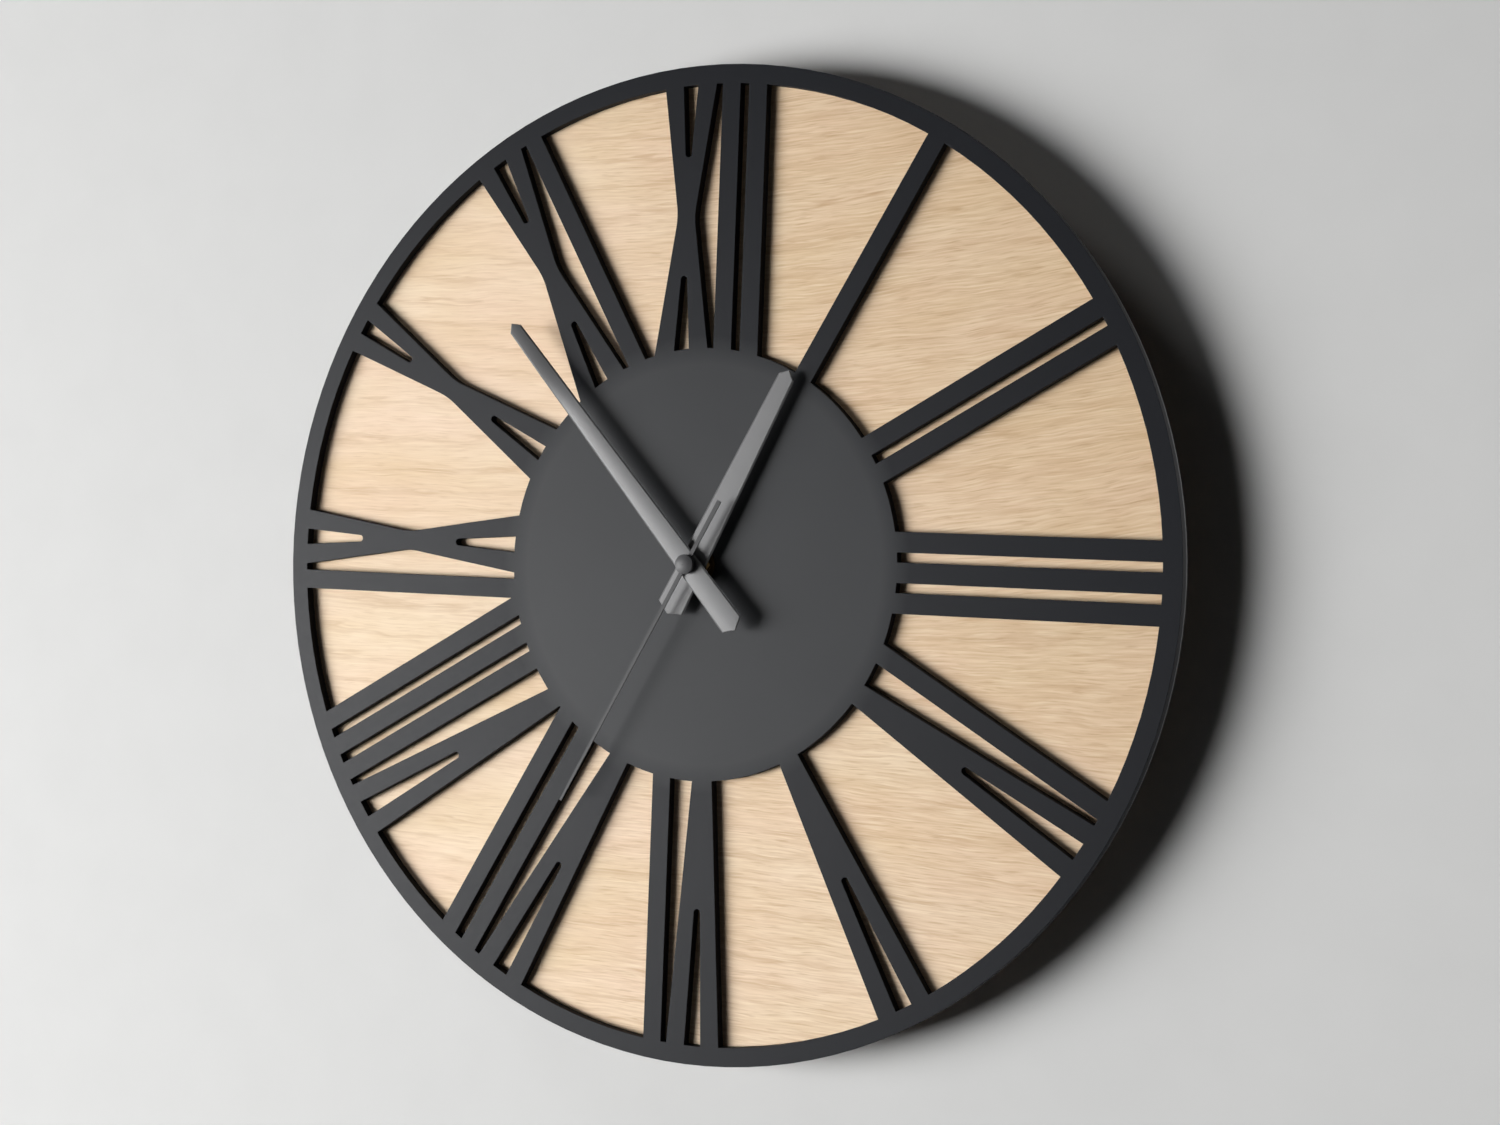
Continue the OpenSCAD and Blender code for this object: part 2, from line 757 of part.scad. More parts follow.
module case_cover() {
    color([0.13, 0.13, 0.14])
        difference() {
            union() {
                rounded_block(case_w, case_r, cover_t);
                for (y = hook_y) {
                    hook(y);
                    mirror([1, 0, 0])
                        hook(y);
                }
                at(knob_at, 0)
                    cylinder(r = well_r + well_floor_t, h = well_floor_back + well_floor_t,
                        $fn = round_fn);
                for (place = [[0, 0], third_at, inter_at, rotor_at])
                    bearing(place, cover_t - cut, cover_t + boss_h, bearing_r);
                for (x = [core_x0, core_x1 - core_w])
                    at([x + core_w / 2, coil_y], 0)
                        cylinder(d = core_w - 2 * loose_fit, h = stator_back, $fn = round_fn);
            }
            translate([-half_inner + bay_mouth_margin, cell_y - cell_d / 2 - cell_gap, -cut])
                cube([2 * (half_inner - bay_mouth_margin), cell_d + 2 * cell_gap,
                    cover_t + 2 * cut]);
            at(knob_at, -cut) {
                cylinder(r = well_r, h = well_floor_back + cut, $fn = round_fn);
                cylinder(r = stem_bearing_r, h = well_floor_back + well_floor_t + 2 * cut,
                    $fn = round_fn);
            }
        }
}

module centre_bush() {
    color([0.76, 0.62, 0.34])
        difference() {
            union() {
                rod(bush_flange_d, flange_back, inner_front);
                rod(bush_d, flange_back, bush_front);
            }
            rod(hour_tube_d + 2 * run_gap, flange_back - cut, bush_front + cut);
        }
}

module train_plate() {
    x_reach = column_x + column_r;
    color([0.86, 0.86, 0.83])
        difference() {
            union() {
                translate([-x_reach, column_low - column_r, level_plate])
                    cube([2 * x_reach, column_high - column_low + 2 * column_r,
                        train_plate_t]);
                for (x = [pcb_x0 + standoff_inset, pcb_x0 + pcb_w - standoff_inset])
                    at([x, pcb_y0 + pcb_h / 2], pcb_back + pcb_t)
                        cylinder(r = standoff_r, h = level_plate - pcb_back - pcb_t,
                            $fn = round_fn);
            }
            at([0, 0], level_plate - cut)
                cylinder(r = journal_bearing_r, h = train_plate_t + 2 * cut, $fn = round_fn);
            at(knob_at, level_plate - cut)
                cylinder(r = stem_bearing_r, h = train_plate_t + 2 * cut, $fn = round_fn);
            for (place = [third_at, inter_at, rotor_at, minute_at])
                at(place, level_plate - cut)
                    cylinder(r = bearing_r, h = train_plate_t + 2 * cut, $fn = round_fn);
        }
}

module battery() {
    color([0.25, 0.27, 0.30])
        translate([cell_left, cell_y, cell_z])
            rotate([0, 90, 0]) {
                cylinder(d = nub_d, h = nub_l, $fn = round_fn);
                translate([0, 0, nub_l])
                    cylinder(d = cell_d, h = cell_l - nub_l, $fn = round_fn);
            }
}

module contact_plus() {
    color([0.80, 0.80, 0.78])
        translate([-half_inner, cell_y - contact_w / 2, cell_z - contact_w / 2])
            cube([contact_t, contact_w, contact_w]);
}

// Spring leaf between the end wall of the bay and the flat end of the cell
bow_share = 0.35;

module contact_minus() {
    deep = half_inner - cell_right;
    bow = contact_w * bow_share;
    color([0.80, 0.80, 0.78])
        translate([half_inner, cell_y + contact_w / 2, cell_z])
            rotate([90, 0, 0])
                linear_extrude(height = contact_w)
                    polygon([[0, -contact_w / 2], [0, contact_w / 2],
                        [-contact_t, contact_w / 2], [-deep, bow / 2], [-deep, -bow / 2],
                        [-deep + contact_t, -bow / 2], [-deep + contact_t, bow / 2 - contact_t],
                        [-contact_t, contact_w / 2 - 2 * contact_t],
                        [-contact_t, -contact_w / 2]]);
}

module circuit_board() {
    color([0.62, 0.50, 0.28])
        translate([pcb_x0, pcb_y0, pcb_back])
            cube([pcb_w, pcb_h, pcb_t]);
}

// Drop of black resin over the bare chip
module chip() {
    color([0.05, 0.05, 0.05])
        at([chip_x, pcb_y0 + pcb_h / 2], pcb_back - chip_h)
            cylinder(r1 = chip_r * chip_top_share, r2 = chip_r, h = chip_h, $fn = round_fn);
}

module crystal() {
    color([0.78, 0.78, 0.76])
        translate([chip_x + chip_r + part_gap, pcb_y0 + pcb_h / 2, pcb_back - crystal_d / 2])
            rotate([0, 90, 0])
                cylinder(d = crystal_d, h = crystal_l, $fn = round_fn);
}

// Soft iron sheet: a yoke round the rotor and an arm up to each end of the coil core
corner_share = 0.7;

module stator() {
    low = rotor_at[1] - stator_hole_r - stator_rim;
    right = rotor_at[0] + stator_hole_r + stator_rim;
    yoke_top = coil_y - flange_w / 2 - part_gap;
    arm_top = coil_y + core_w / 2;
    // The lower corners are cut off
    corner = stator_hole_r * corner_share;
    color([0.60, 0.61, 0.62])
        translate([0, 0, stator_back])
            difference() {
                linear_extrude(height = stator_t)
                    polygon([[core_x0 + corner, low], [right - corner, low],
                        [right, low + corner], [right, yoke_top - core_w],
                        [core_x1, yoke_top - core_w], [core_x1, arm_top],
                        [core_x1 - core_w, arm_top], [core_x1 - core_w, yoke_top],
                        [core_x0 + core_w, yoke_top], [core_x0 + core_w, arm_top],
                        [core_x0, arm_top], [core_x0, low + corner]]);
                at(rotor_at, -cut)
                    cylinder(r = stator_hole_r, h = stator_t + 2 * cut, $fn = round_fn);
            }
}

module coil_core() {
    color([0.66, 0.67, 0.68])
        translate([core_x0, coil_y - core_w / 2, core_back])
            cube([core_x1 - core_x0, core_w, core_t]);
}

module coil_bobbin() {
    color([0.90, 0.89, 0.85])
        translate([coil_x0, coil_y, core_mid])
            difference() {
                union() {
                    for (x = [0, coil_l + flange_t])
                        translate([x, -flange_w / 2, -flange_w / 2])
                            cube([flange_t, flange_w, flange_w]);
                    rotate([0, 90, 0])
                        cylinder(r = bobbin_r, h = coil_l + 2 * flange_t, $fn = round_fn);
                }
                translate([-cut, -core_w / 2, -core_t / 2])
                    cube([coil_l + 2 * flange_t + 2 * cut, core_w, core_t]);
            }
}

module coil_winding() {
    color([0.72, 0.36, 0.18])
        translate([coil_x0 + flange_t, coil_y, core_mid])
            rotate([0, 90, 0])
                tube(coil_d / 2, bobbin_r, coil_l);
}

module rotor_magnet() {
    color([0.25, 0.25, 0.27])
        at(rotor_at, magnet_back)
            tube(magnet_d / 2, arbor_d / 2, magnet_h);
}

// Arbor with a pivot at each end, in bearings that end at z0 and z1
module arbor(z0, z1) {
    rod(pivot_d, z0 - boss_h + axial_gap, z1 + boss_h - axial_gap);
    rod(arbor_d, z0 + axial_gap, z1 - axial_gap);
}

module rotor_pinion() {
    color([0.90, 0.90, 0.86])
        at(rotor_at, 0) {
            arbor(cover_t + boss_h, level_plate);
            translate([0, 0, level_third - level_gap / 2])
                gear(rotor_teeth, m_rotor, wheel_t + level_gap, rotor_turn);
        }
}

module intermediate_wheel() {
    color([0.88, 0.84, 0.70])
        at(inter_at, 0) {
            arbor(cover_t + boss_h, level_plate);
            translate([0, 0, level_third])
                gear(inter_teeth, m_rotor, wheel_t);
            translate([0, 0, level_second - level_gap / 2])
                gear(inter_pinion_teeth, m_second, level_third - level_second + level_gap / 2,
                    inter_pinion_turn);
        }
}

// Second wheel, its pinion, and the long shaft that ends in the second hand's hub
module second_wheel() {
    color([0.90, 0.88, 0.80]) {
        rod(pivot_d, cover_t + axial_gap, cover_t + boss_h + axial_gap);
        rod(second_shaft_d, cover_t + boss_h + axial_gap, cap_back);
        translate([0, 0, level_second])
            gear(second_teeth, m_second, wheel_t);
        translate([0, 0, level_second])
            gear(second_pinion_teeth, m_third, level_centre - level_second - 2 * axial_gap);
    }
}

module third_wheel() {
    color([0.88, 0.84, 0.70])
        at(third_at, 0) {
            arbor(cover_t + boss_h, level_plate);
            translate([0, 0, level_third])
                gear(third_teeth, m_third, wheel_t, third_turn);
            translate([0, 0, level_third])
                gear(third_pinion_teeth, m_centre, level_plate - level_third - axial_gap);
        }
}

// Centre wheel, carried on the journal of the minute tube by friction
module centre_wheel() {
    color([0.90, 0.88, 0.80])
        translate([0, 0, level_centre])
            difference() {
                gear(centre_teeth, m_centre, wheel_t, centre_turn);
                translate([0, 0, -cut])
                    cylinder(r = journal_bearing_r, h = wheel_t + 2 * cut, $fn = round_fn);
            }
}

module minute_tube() {
    journal_back = level_centre - axial_gap;
    color([0.80, 0.66, 0.38])
        difference() {
            union() {
                rod(journal_d, journal_back, level_minute);
                translate([0, 0, level_minute - axial_gap])
                    gear(cannon_teeth, m_minute, cannon_t);
                rod(minute_tube_d, level_minute, minute_front);
            }
            rod(second_shaft_d + 2 * run_gap, journal_back - cut, minute_front + cut);
        }
}

module minute_wheel() {
    color([0.88, 0.84, 0.70])
        at(minute_at, 0) {
            rod(pivot_d, level_plate + axial_gap, inner_front - axial_gap);
            rod(arbor_d, level_plate + train_plate_t + axial_gap, front_boss_back - axial_gap);
            translate([0, 0, level_minute])
                gear(minute_teeth, m_minute, wheel_t, minute_turn);
            translate([0, 0, level_minute])
                gear(minute_pinion_teeth, m_hour, level_hour - level_minute + wheel_t + axial_gap);
        }
}

module hour_wheel() {
    hub_back = level_minute + cannon_t;
    color([0.92, 0.91, 0.88])
        difference() {
            union() {
                translate([0, 0, level_hour])
                    gear(hour_teeth, m_hour, wheel_t, hour_turn);
                rod(hour_tube_d + 2 * hub_wall, hub_back, flange_back - axial_gap);
                rod(hour_tube_d, hub_back, hour_back + hand_t + tube_proud);
            }
            rod(minute_tube_d + 2 * run_gap, hub_back - cut,
                hour_back + hand_t + tube_proud + cut);
        }
}

knob_ridges = 24;
knob_ridge_depth = 0.3;

// Ridged knob in the cover's well, with the stem and the pinion that turns the minute wheel
module setting_knob() {
    ridge = [for (i = [0 : 2 * knob_ridges - 1])
        clockwise(knob_d / 2 - (i % 2) * knob_ridge_depth, i * 180 / knob_ridges)];
    color([0.20, 0.20, 0.21])
        at(knob_at, 0) {
            translate([0, 0, knob_sink])
                linear_extrude(height = knob_t)
                    polygon(ridge);
            rod(stem_d, knob_sink, front_boss_back - axial_gap);
            rod(pivot_d, front_boss_back - 2 * axial_gap, inner_front - axial_gap);
            translate([0, 0, level_minute - axial_gap])
                gear(cannon_teeth, m_minute, wheel_t + 2 * axial_gap, knob_turn);
        }
}

stand_up() front_plate();
stand_up() oak_board();
stand_up() hour_hand();
stand_up() minute_hand();
stand_up() second_hand();
stand_up() hand_cap();
stand_up() centre_nut();
stand_up() brass_washer();
stand_up() rubber_gasket();
stand_up() hanger();
stand_up() wall_spacers();
stand_up() case_front();
stand_up() case_cover();
stand_up() centre_bush();
stand_up() train_plate();
stand_up() battery();
stand_up() contact_plus();
stand_up() contact_minus();
stand_up() circuit_board();
stand_up() chip();
stand_up() crystal();
stand_up() stator();
stand_up() coil_core();
stand_up() coil_bobbin();
stand_up() coil_winding();
stand_up() rotor_magnet();
stand_up() rotor_pinion();
stand_up() intermediate_wheel();
stand_up() second_wheel();
stand_up() third_wheel();
stand_up() centre_wheel();
stand_up() minute_tube();
stand_up() minute_wheel();
stand_up() hour_wheel();
stand_up() setting_knob();
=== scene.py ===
"""Finishes, small turned and wound pieces, lamps and camera for the round wall clock.

The file is laid out as a Blender add-on and is run as a script. Lengths in the settings are in
metres. The dial faces -Y, the wall is the plane y = 0, and the axis of the hands is the Y axis.
"""

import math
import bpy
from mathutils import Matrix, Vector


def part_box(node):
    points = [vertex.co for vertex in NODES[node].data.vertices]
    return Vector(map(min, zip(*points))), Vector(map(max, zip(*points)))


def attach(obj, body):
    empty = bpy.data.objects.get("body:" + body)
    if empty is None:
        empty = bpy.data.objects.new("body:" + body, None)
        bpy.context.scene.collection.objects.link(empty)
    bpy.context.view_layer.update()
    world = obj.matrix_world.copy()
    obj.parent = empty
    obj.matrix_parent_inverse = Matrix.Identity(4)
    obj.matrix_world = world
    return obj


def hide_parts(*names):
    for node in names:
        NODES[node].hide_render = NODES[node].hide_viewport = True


bl_info = {
    "name": "Round Wall Clock",
    "version": (1, 0, 0),
    "blender": (4, 5, 0),
    "location": "View3D > Sidebar > Clock",
    "description": "Finishes the packed wall clock and sets its wall, lamps and camera",
    "category": "Object",
}

import bmesh
import bpy
from mathutils import Matrix, Vector

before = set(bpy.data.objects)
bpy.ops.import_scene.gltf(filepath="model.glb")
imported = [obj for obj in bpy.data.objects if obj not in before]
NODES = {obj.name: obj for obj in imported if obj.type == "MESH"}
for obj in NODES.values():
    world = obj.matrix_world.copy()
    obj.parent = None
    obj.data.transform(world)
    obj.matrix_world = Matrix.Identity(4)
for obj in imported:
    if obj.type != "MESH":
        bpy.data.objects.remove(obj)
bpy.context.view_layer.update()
MM = 0.001
ROOT = "clock"

# The colour of a finish drifts over this many times the size of its grain
CLOUD = 12
# Radii where the disc's painted sheen, a greyer lacquer, gives way to the black of the numerals
DISC_SHEEN_RIM = (80 * MM, 92 * MM)
# Darkness across one growth ring of the oak, from the early wood to the end of the late wood
RING_TONES = (
    (0.0, (0.1, 0.1, 0.1, 1)), (0.66, (0, 0, 0, 1)), (0.9, (1, 1, 1, 1)),
    (1.0, (0.1, 0.1, 0.1, 1)),
)
# Where the leaf's fibres begin to bend, from the axis towards the left
BEND_START = 60 * MM
# Hands as in the source, in mm: length, tail, width near the tip and near the tail, bore, and the
# distance of the back from the wall
HOUR_HAND = (87, 22.5, 7.4, 12.6, 5.0, 30.9)
MINUTE_HAND = (129, 33.6, 5.7, 10.6, 3.5, 34.9)
HAND_THICK = 0.6 * MM
# Length of a hand's point at each end, and half the width that is left at its very tip
HAND_POINT, HAND_TIP = 2.8 * MM, 0.02 * MM
# Width and height of the bevels along a hand
HAND_BEVEL = (0.6 * MM, 0.4 * MM)
# Rows of points along a hand, and points across its crown
HAND_STEPS, HAND_COLUMNS = 60, 11
# Where the minute hand's twist begins and how far it takes, as shares of the hand's length
TWIST_START, TWIST_SPAN = 0.6, 0.25
# Faces of a hand that meet at fewer degrees are shaded smooth, so that its bevels stay crisp
HAND_SMOOTH = 12
# Metal nearer to the wall than this mirrors the room through it
MIRROR_GAP = 22 * MM
# The camera as solved from the photograph: metres, and degrees about X, Y and Z
CAMERA_PLACE = (0.47260888, -0.91489644, 0.00796831)
CAMERA_TURN = (89.63692292, -2.12952192, 26.83447133)


def srgb(code):
    """Linear RGBA of an sRGB hex colour such as #30343a."""
    channels = (int(code[i : i + 2], 16) / 255 for i in (1, 3, 5))
    linear = [c / 12.92 if c <= 0.04045 else ((c + 0.055) / 1.055) ** 2.4 for c in channels]
    return (*linear, 1.0)


def colour_setting(name, code, description):
    """A colour property whose default is a hex colour."""
    return bpy.props.FloatVectorProperty(
        name=name, description=description, subtype="COLOR", size=4, min=0, max=1,
        default=srgb(code),
    )


def length_setting(name, value, description):
    """A length property in metres."""
    return bpy.props.FloatProperty(
        name=name, description=description, default=value, min=0, precision=5, unit="LENGTH"
    )


class ClockFinish(bpy.types.PropertyGroup):
    """Colours and grain sizes of the clock's surfaces."""

    lacquer: colour_setting("Dial lacquer", "#111318", "Satin lacquer of the ring and the numerals")
    # Painted sheen: the disc's lacquer is given a greyer colour in place of the shine that it shows
    lacquer_disc_sheen: colour_setting("Disc lacquer", "#333436", "The same lacquer on the wide disc")
    lacquer_edge: colour_setting("Dial edge", "#0d0d0f", "Lacquer on the routed edges of the dial")
    lacquer_rough: bpy.props.FloatProperty(
        name="Dial roughness", description="How matt the dial is", default=0.40, min=0, max=1
    )
    lacquer_edge_rough: bpy.props.FloatProperty(
        name="Edge roughness", description="How matt the dial's edges are", default=0.62,
        min=0, max=1,
    )
    oak: colour_setting("Oak", "#e3c8a2", "Ground colour of the oak veneer")
    oak_pale: colour_setting("Pale oak", "#f1dcbf", "Early wood between the dark lines")
    oak_rosy: colour_setting("Rosy oak", "#efd2ba", "Soft rosy clouds in the oak")
    oak_line: colour_setting("Oak line", "#c39f79", "Late wood lines and fibres")
    oak_pore: colour_setting("Oak pores", "#bd9a74", "Short pores along the grain")
    # Multiplies the oak towards the upper right, making it darker and browner there
    heart: colour_setting(
        "Heart tone", "#eee9df", "Multiplies the oak where the leaf nears the heart"
    )
    ring_gap: length_setting("Ring gap", 11 * MM, "Usual distance between two growth rings")
    pore_length: length_setting("Pore length", 11 * MM, "Length of the short dark pores")
    hardboard: colour_setting("Hardboard", "#675543", "Bare back of the board")
    hand: colour_setting("Hands", "#585859", "Satin lacquer of the stamped hands")
    second: colour_setting("Second hand", "#2c2c2e", "Satin lacquer of the second hand")
    cap: colour_setting("Cap", "#343436", "Lacquer of the round cap over the hands")
    case: colour_setting("Case", "#191a1c", "Moulded case of the movement")
    jacket: colour_setting("Cell sleeve", "#d3d4d0", "Plain sleeve of the cell")


class ClockParts(bpy.types.PropertyGroup):
    """Sizes of the pieces that are made here and not in the source."""

    thread_pitch: length_setting("Thread pitch", 0.75 * MM, "Pitch of the centre bush's thread")
    thread_depth: length_setting("Thread depth", 0.4 * MM, "Depth of the thread")
    nut_chamfer: length_setting(
        "Nut chamfer", 0.35 * MM, "How far the nut's corners are turned down"
    )
    hour_crown: length_setting("Hour hand's crown", 0.05 * MM, "Rise from edge to middle")
    minute_crown: length_setting("Minute hand's crown", 0.22 * MM, "Rise from edge to middle")
    minute_twist: bpy.props.FloatProperty(
        name="Minute hand's twist", description="How far the thin outer half turns to the right",
        default=math.radians(11), subtype="ANGLE",
    )
    wire: length_setting("Wire", 0.25 * MM, "Wire of the coil, ten times as thick as the real one")


class ClockStage(bpy.types.PropertyGroup):
    """Wall, floor, lamps and camera."""

    wall: colour_setting("Wall", "#d1d1d0", "Matt wall paint")
    floor: colour_setting("Floor", "#8e8e8c", "Plain floor, which is paler where it is seen")
    floor_pale: bpy.props.FloatProperty(
        name="Floor glow", description="How much paler the floor is where it is seen", default=0.6,
        min=0,
    )
    floor_drop: length_setting("Floor drop", 1.5, "Height of the clock's centre over the floor")
    key_power: bpy.props.FloatProperty(
        name="Window", description="Power of the large lamp at the left", default=41, min=0,
        unit="POWER",
    )
    top_power: bpy.props.FloatProperty(
        name="Ceiling", description="Power of the faint light from the ceiling", default=1.8, min=0,
        unit="POWER",
    )
    back_power: bpy.props.FloatProperty(
        name="Rear lamps", description="Power of each lamp behind the wall that shows the back",
        default=12, min=0, unit="POWER",
    )
    lamp_spread: bpy.props.FloatProperty(
        name="Lamp spread", description="Angle that each lamp lights", default=math.radians(80),
        subtype="ANGLE",
    )
    fill: bpy.props.FloatProperty(
        name="Fill", description="Strength of the light from behind the wall's plane", default=0.5,
        min=0,
    )
    lens: bpy.props.FloatProperty(
        name="Lens", description="Focal length of the camera", default=60.375, min=1, unit="CAMERA"
    )


def add_node(tree, kind, inputs=None, **settings):
    """Adds a node: settings are its properties, and inputs are its sockets' values or links."""
    node = tree.nodes.new("ShaderNode" + kind)
    stops = settings.pop("stops", None)
    for key, value in settings.items():
        setattr(node, key, value)
    for key, value in (inputs or {}).items():
        if isinstance(value, bpy.types.NodeSocket):
            tree.links.new(value, node.inputs[key])
        else:
            node.inputs[key].default_value = value
    if stops:
        ramp = node.color_ramp.elements
        while len(ramp) < len(stops):
            ramp.new(0.5)
        for element, (position, colour) in zip(ramp, stops):
            element.position = position
            element.color = colour
    return node


def new_material(name, **shader):
    """A material with a Principled shader. Returns the material, its tree and the shader."""
    made = bpy.data.materials.new(name)
    made.use_nodes = True
    tree = made.node_tree
    tree.nodes.clear()
    body = add_node(tree, "BsdfPrincipled", {k.replace("_", " "): v for k, v in shader.items()})
    add_node(tree, "OutputMaterial", {"Surface": body.outputs[0]})
    return made, tree, body


def patch(tree, sizes, seed=0.0, warp=None):
    """Coordinates in which a pattern of scale 1 has features of the given sizes in mm."""
    place = add_node(tree, "TexCoord").outputs["Object"] if warp is None else warp
    scale = [1 / (MM * size) for size in sizes]
    scaled = add_node(tree, "VectorMath", {0: place, 1: scale}, operation="MULTIPLY")
    return add_node(
        tree, "VectorMath", {0: scaled.outputs[0], 1: (seed, seed, seed)}, operation="ADD"
    ).outputs[0]


def noise(tree, sizes, seed=0.0, detail=2.0, warp=None):
    """Soft noise with features of the given sizes in mm."""
    place = patch(tree, sizes, seed, warp)
    return add_node(tree, "TexNoise", {"Vector": place, "Scale": 1.0, "Detail": detail}).outputs[0]


def spread(tree, value, low, high, **ends):
    """Maps a noise to a range; other ends than those of a usual noise can be given."""
    found = {"Value": value, "From Min": 0.3, "From Max": 0.7, "To Min": low, "To Max": high}
    found.update({k.replace("_", " "): v for k, v in ends.items()})
    return add_node(tree, "MapRange", found).outputs[0]


def tint(tree, share, first, second, blend="MIX"):
    """Mixes two colours, which are the sockets 6 and 7 of the node."""
    inputs = {0: share, 6: first, 7: second}
    return add_node(tree, "Mix", inputs, data_type="RGBA", blend_type=blend).outputs[2]


def side_mask(tree):
    """0 on the faces that look along the clock's axis, 1 on its edges."""
    place = add_node(tree, "TexCoord").outputs["Normal"]
    along = add_node(tree, "SeparateXYZ", {0: place}).outputs["Y"]
    size = add_node(tree, "Math", {0: along}, operation="ABSOLUTE").outputs[0]
    return add_node(
        tree, "MapRange", {"Value": size, "From Min": 0.9, "From Max": 0.5}
    ).outputs[0]


def bump(tree, body, height, depth_mm, edge_mm=0.0):
    """Bump of a depth in mm, over edges that are rounded by a radius in mm."""
    inputs = {"Height": height, "Distance": depth_mm * MM, "Strength": 1.0}
    if edge_mm:
        inputs["Normal"] = add_node(tree, "Bevel", {"Radius": edge_mm * MM}, samples=6).outputs[0]
    relief = add_node(tree, "Bump", inputs).outputs[0]
    tree.links.new(relief, body.inputs["Normal"])


def dress(made, *names):
    """Puts a material on CAD nodes."""
    for name in names:
        slots = NODES[name].data.materials
        slots.clear()
        slots.append(made)


def plain_finish(name, code, low, high, grain, depth, rough, metal=0.0, edge=0.0, **more):
    """A finish with one ground colour, which is a hex code or a colour setting.

    low and high darken and lighten the colour, grain is the pattern's size in mm along x, y and z,
    depth is its relief in mm, rough is the range of its roughness, and edge is the radius in mm to
    which edges look rounded. Whatever else is given is a value of the shader.
    """
    colour = srgb(code) if isinstance(code, str) else tuple(code)
    made, tree, body = new_material(name, Metallic=metal, **more)
    pattern = noise(tree, grain, detail=3.0)
    cloud = noise(tree, [CLOUD * size for size in grain], seed=7.0)
    shade = spread(tree, cloud, low, high)
    shaded = add_node(tree, "HueSaturation", {"Color": colour, "Value": shade}).outputs[0]
    tree.links.new(shaded, body.inputs["Base Color"])
    tree.links.new(spread(tree, pattern, *rough), body.inputs["Roughness"])
    bump(tree, body, pattern, depth, edge)
    return made


def turned(outline, steps, matrix):
    """Vertices and faces of a ring, whose section at an angle is outline(angle).

    A section is a closed row of points, each with its radius and its height.
    """
    points, faces = [], []
    count = len(outline(0.0))
    for i in range(steps):
        angle = math.tau * i / steps
        for radius, height in outline(angle):
            place = (radius * math.cos(angle), radius * math.sin(angle), height)
            points.append(matrix @ Vector(place))
    for i in range(steps):
        here, there = i * count, (i + 1) % steps * count
        for k in range(count):
            n = (k + 1) % count
            faces.append((here + k, there + k, there + n, here + n))
    return points, faces


def add_piece(name, points, faces, body, made, smooth_deg):
    """A mesh piece that rides on a body, shaded smooth where its faces meet at fewer degrees."""
    mesh = bpy.data.meshes.new(name)
    mesh.from_pydata(points, [], faces)
    mesh.validate()
    mesh.polygons.foreach_set("use_smooth", [True] * len(mesh.polygons))
    mesh.set_sharp_from_angle(angle=math.radians(smooth_deg))
    for one in made if isinstance(made, list) else [made]:
        mesh.materials.append(one)
    mesh.update()
    piece = bpy.data.objects.new(name, mesh)
    bpy.context.scene.collection.objects.link(piece)
    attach(piece, body)
    return piece


def outward(piece):
    """Joins the points that meet on an axis and makes the faces look outward."""
    work = bmesh.new()
    work.from_mesh(piece.data)
    bmesh.ops.remove_doubles(work, verts=work.verts, dist=0.0001 * MM)
    loose = [edge for edge in work.edges if not edge.link_faces]
    bmesh.ops.delete(work, geom=loose, context="EDGES")
    bmesh.ops.recalc_face_normals(work, faces=work.faces)
    if work.calc_volume(signed=True) < 0:
        bmesh.ops.reverse_faces(work, faces=work.faces)
    work.to_mesh(piece.data)
    work.free()


def facing_dial():
    """Turns a piece's height into the distance from the wall, round the axis of the hands."""
    return Matrix.Rotation(math.radians(90), 4, "X")


def along_x(x, y, z):
    """Turns a piece's height into the direction +X from a point."""
    return Matrix.Translation((x, y, z)) @ Matrix.Rotation(math.radians(90), 4, "Y")


class CLOCK_OT_dial(bpy.types.Operator):
    """Lacquers the pierced dial and gives the board behind it its oak veneer"""

    bl_idname = "clock.dial"
    bl_label = "Dial and board"

    def execute(self, context):
        finish = context.scene.clock_finish
        dress(sprayed_mdf(finish), "front_plate")
        dress(oak_veneer(finish), "oak_board")
        return {"FINISHED"}


def sprayed_mdf(finish):
    """MDF cut by a router and sprayed with satin lacquer.

    The flat faces are even, with a faint orange peel. The wide disc is painted greyer than the
    narrow bars, a painted sheen in place of the shine that it shows; the routed edges drink more
    lacquer, so they are duller and show the fibre.
    """
    made, tree, body = new_material("MDF_sprayed_satin_black", Specular_IOR_Level=0.115)
    edge = side_mask(tree)
    cloud = spread(tree, noise(tree, (60, 60, 60)), 0.94, 1.06)
    place = add_node(tree, "TexCoord").outputs["Object"]
    level = add_node(tree, "VectorMath", {0: place, 1: (1, 0, 1)}, operation="MULTIPLY").outputs[0]
    far = add_node(tree, "VectorMath", {0: level}, operation="LENGTH").outputs["Value"]
    # Painted sheen: the disc is coloured greyer than the bars, in place of the shine that it shows
    bars = add_node(
        tree, "MapRange", {"Value": far, "From Min": DISC_SHEEN_RIM[0], "From Max": DISC_SHEEN_RIM[1]}
    ).outputs[0]
    black = tint(tree, bars, tuple(finish.lacquer_disc_sheen), tuple(finish.lacquer))
    ground = add_node(tree, "HueSaturation", {"Color": black, "Value": cloud})
    colour = tint(tree, edge, ground.outputs[0], tuple(finish.lacquer_edge))
    tree.links.new(colour, body.inputs["Base Color"])
    # Orange peel of sprayed lacquer is about 1.5 mm across, fibre in a routed edge 0.4 mm
    peel = noise(tree, (1.5, 1.5, 1.5), detail=1.0)
    fibre = noise(tree, (0.4, 0.4, 0.4), seed=3.0, detail=3.0)
    face = spread(tree, peel, finish.lacquer_rough - 0.02, finish.lacquer_rough + 0.02)
    rough = add_node(tree, "Mix", {0: edge, 2: face, 3: finish.lacquer_edge_rough}).outputs[0]
    tree.links.new(rough, body.inputs["Roughness"])
    relief = add_node(tree, "Mix", {0: edge, 2: peel, 3: fibre}).outputs[0]
    bump(tree, body, relief, 0.01, 0.35)
    return made


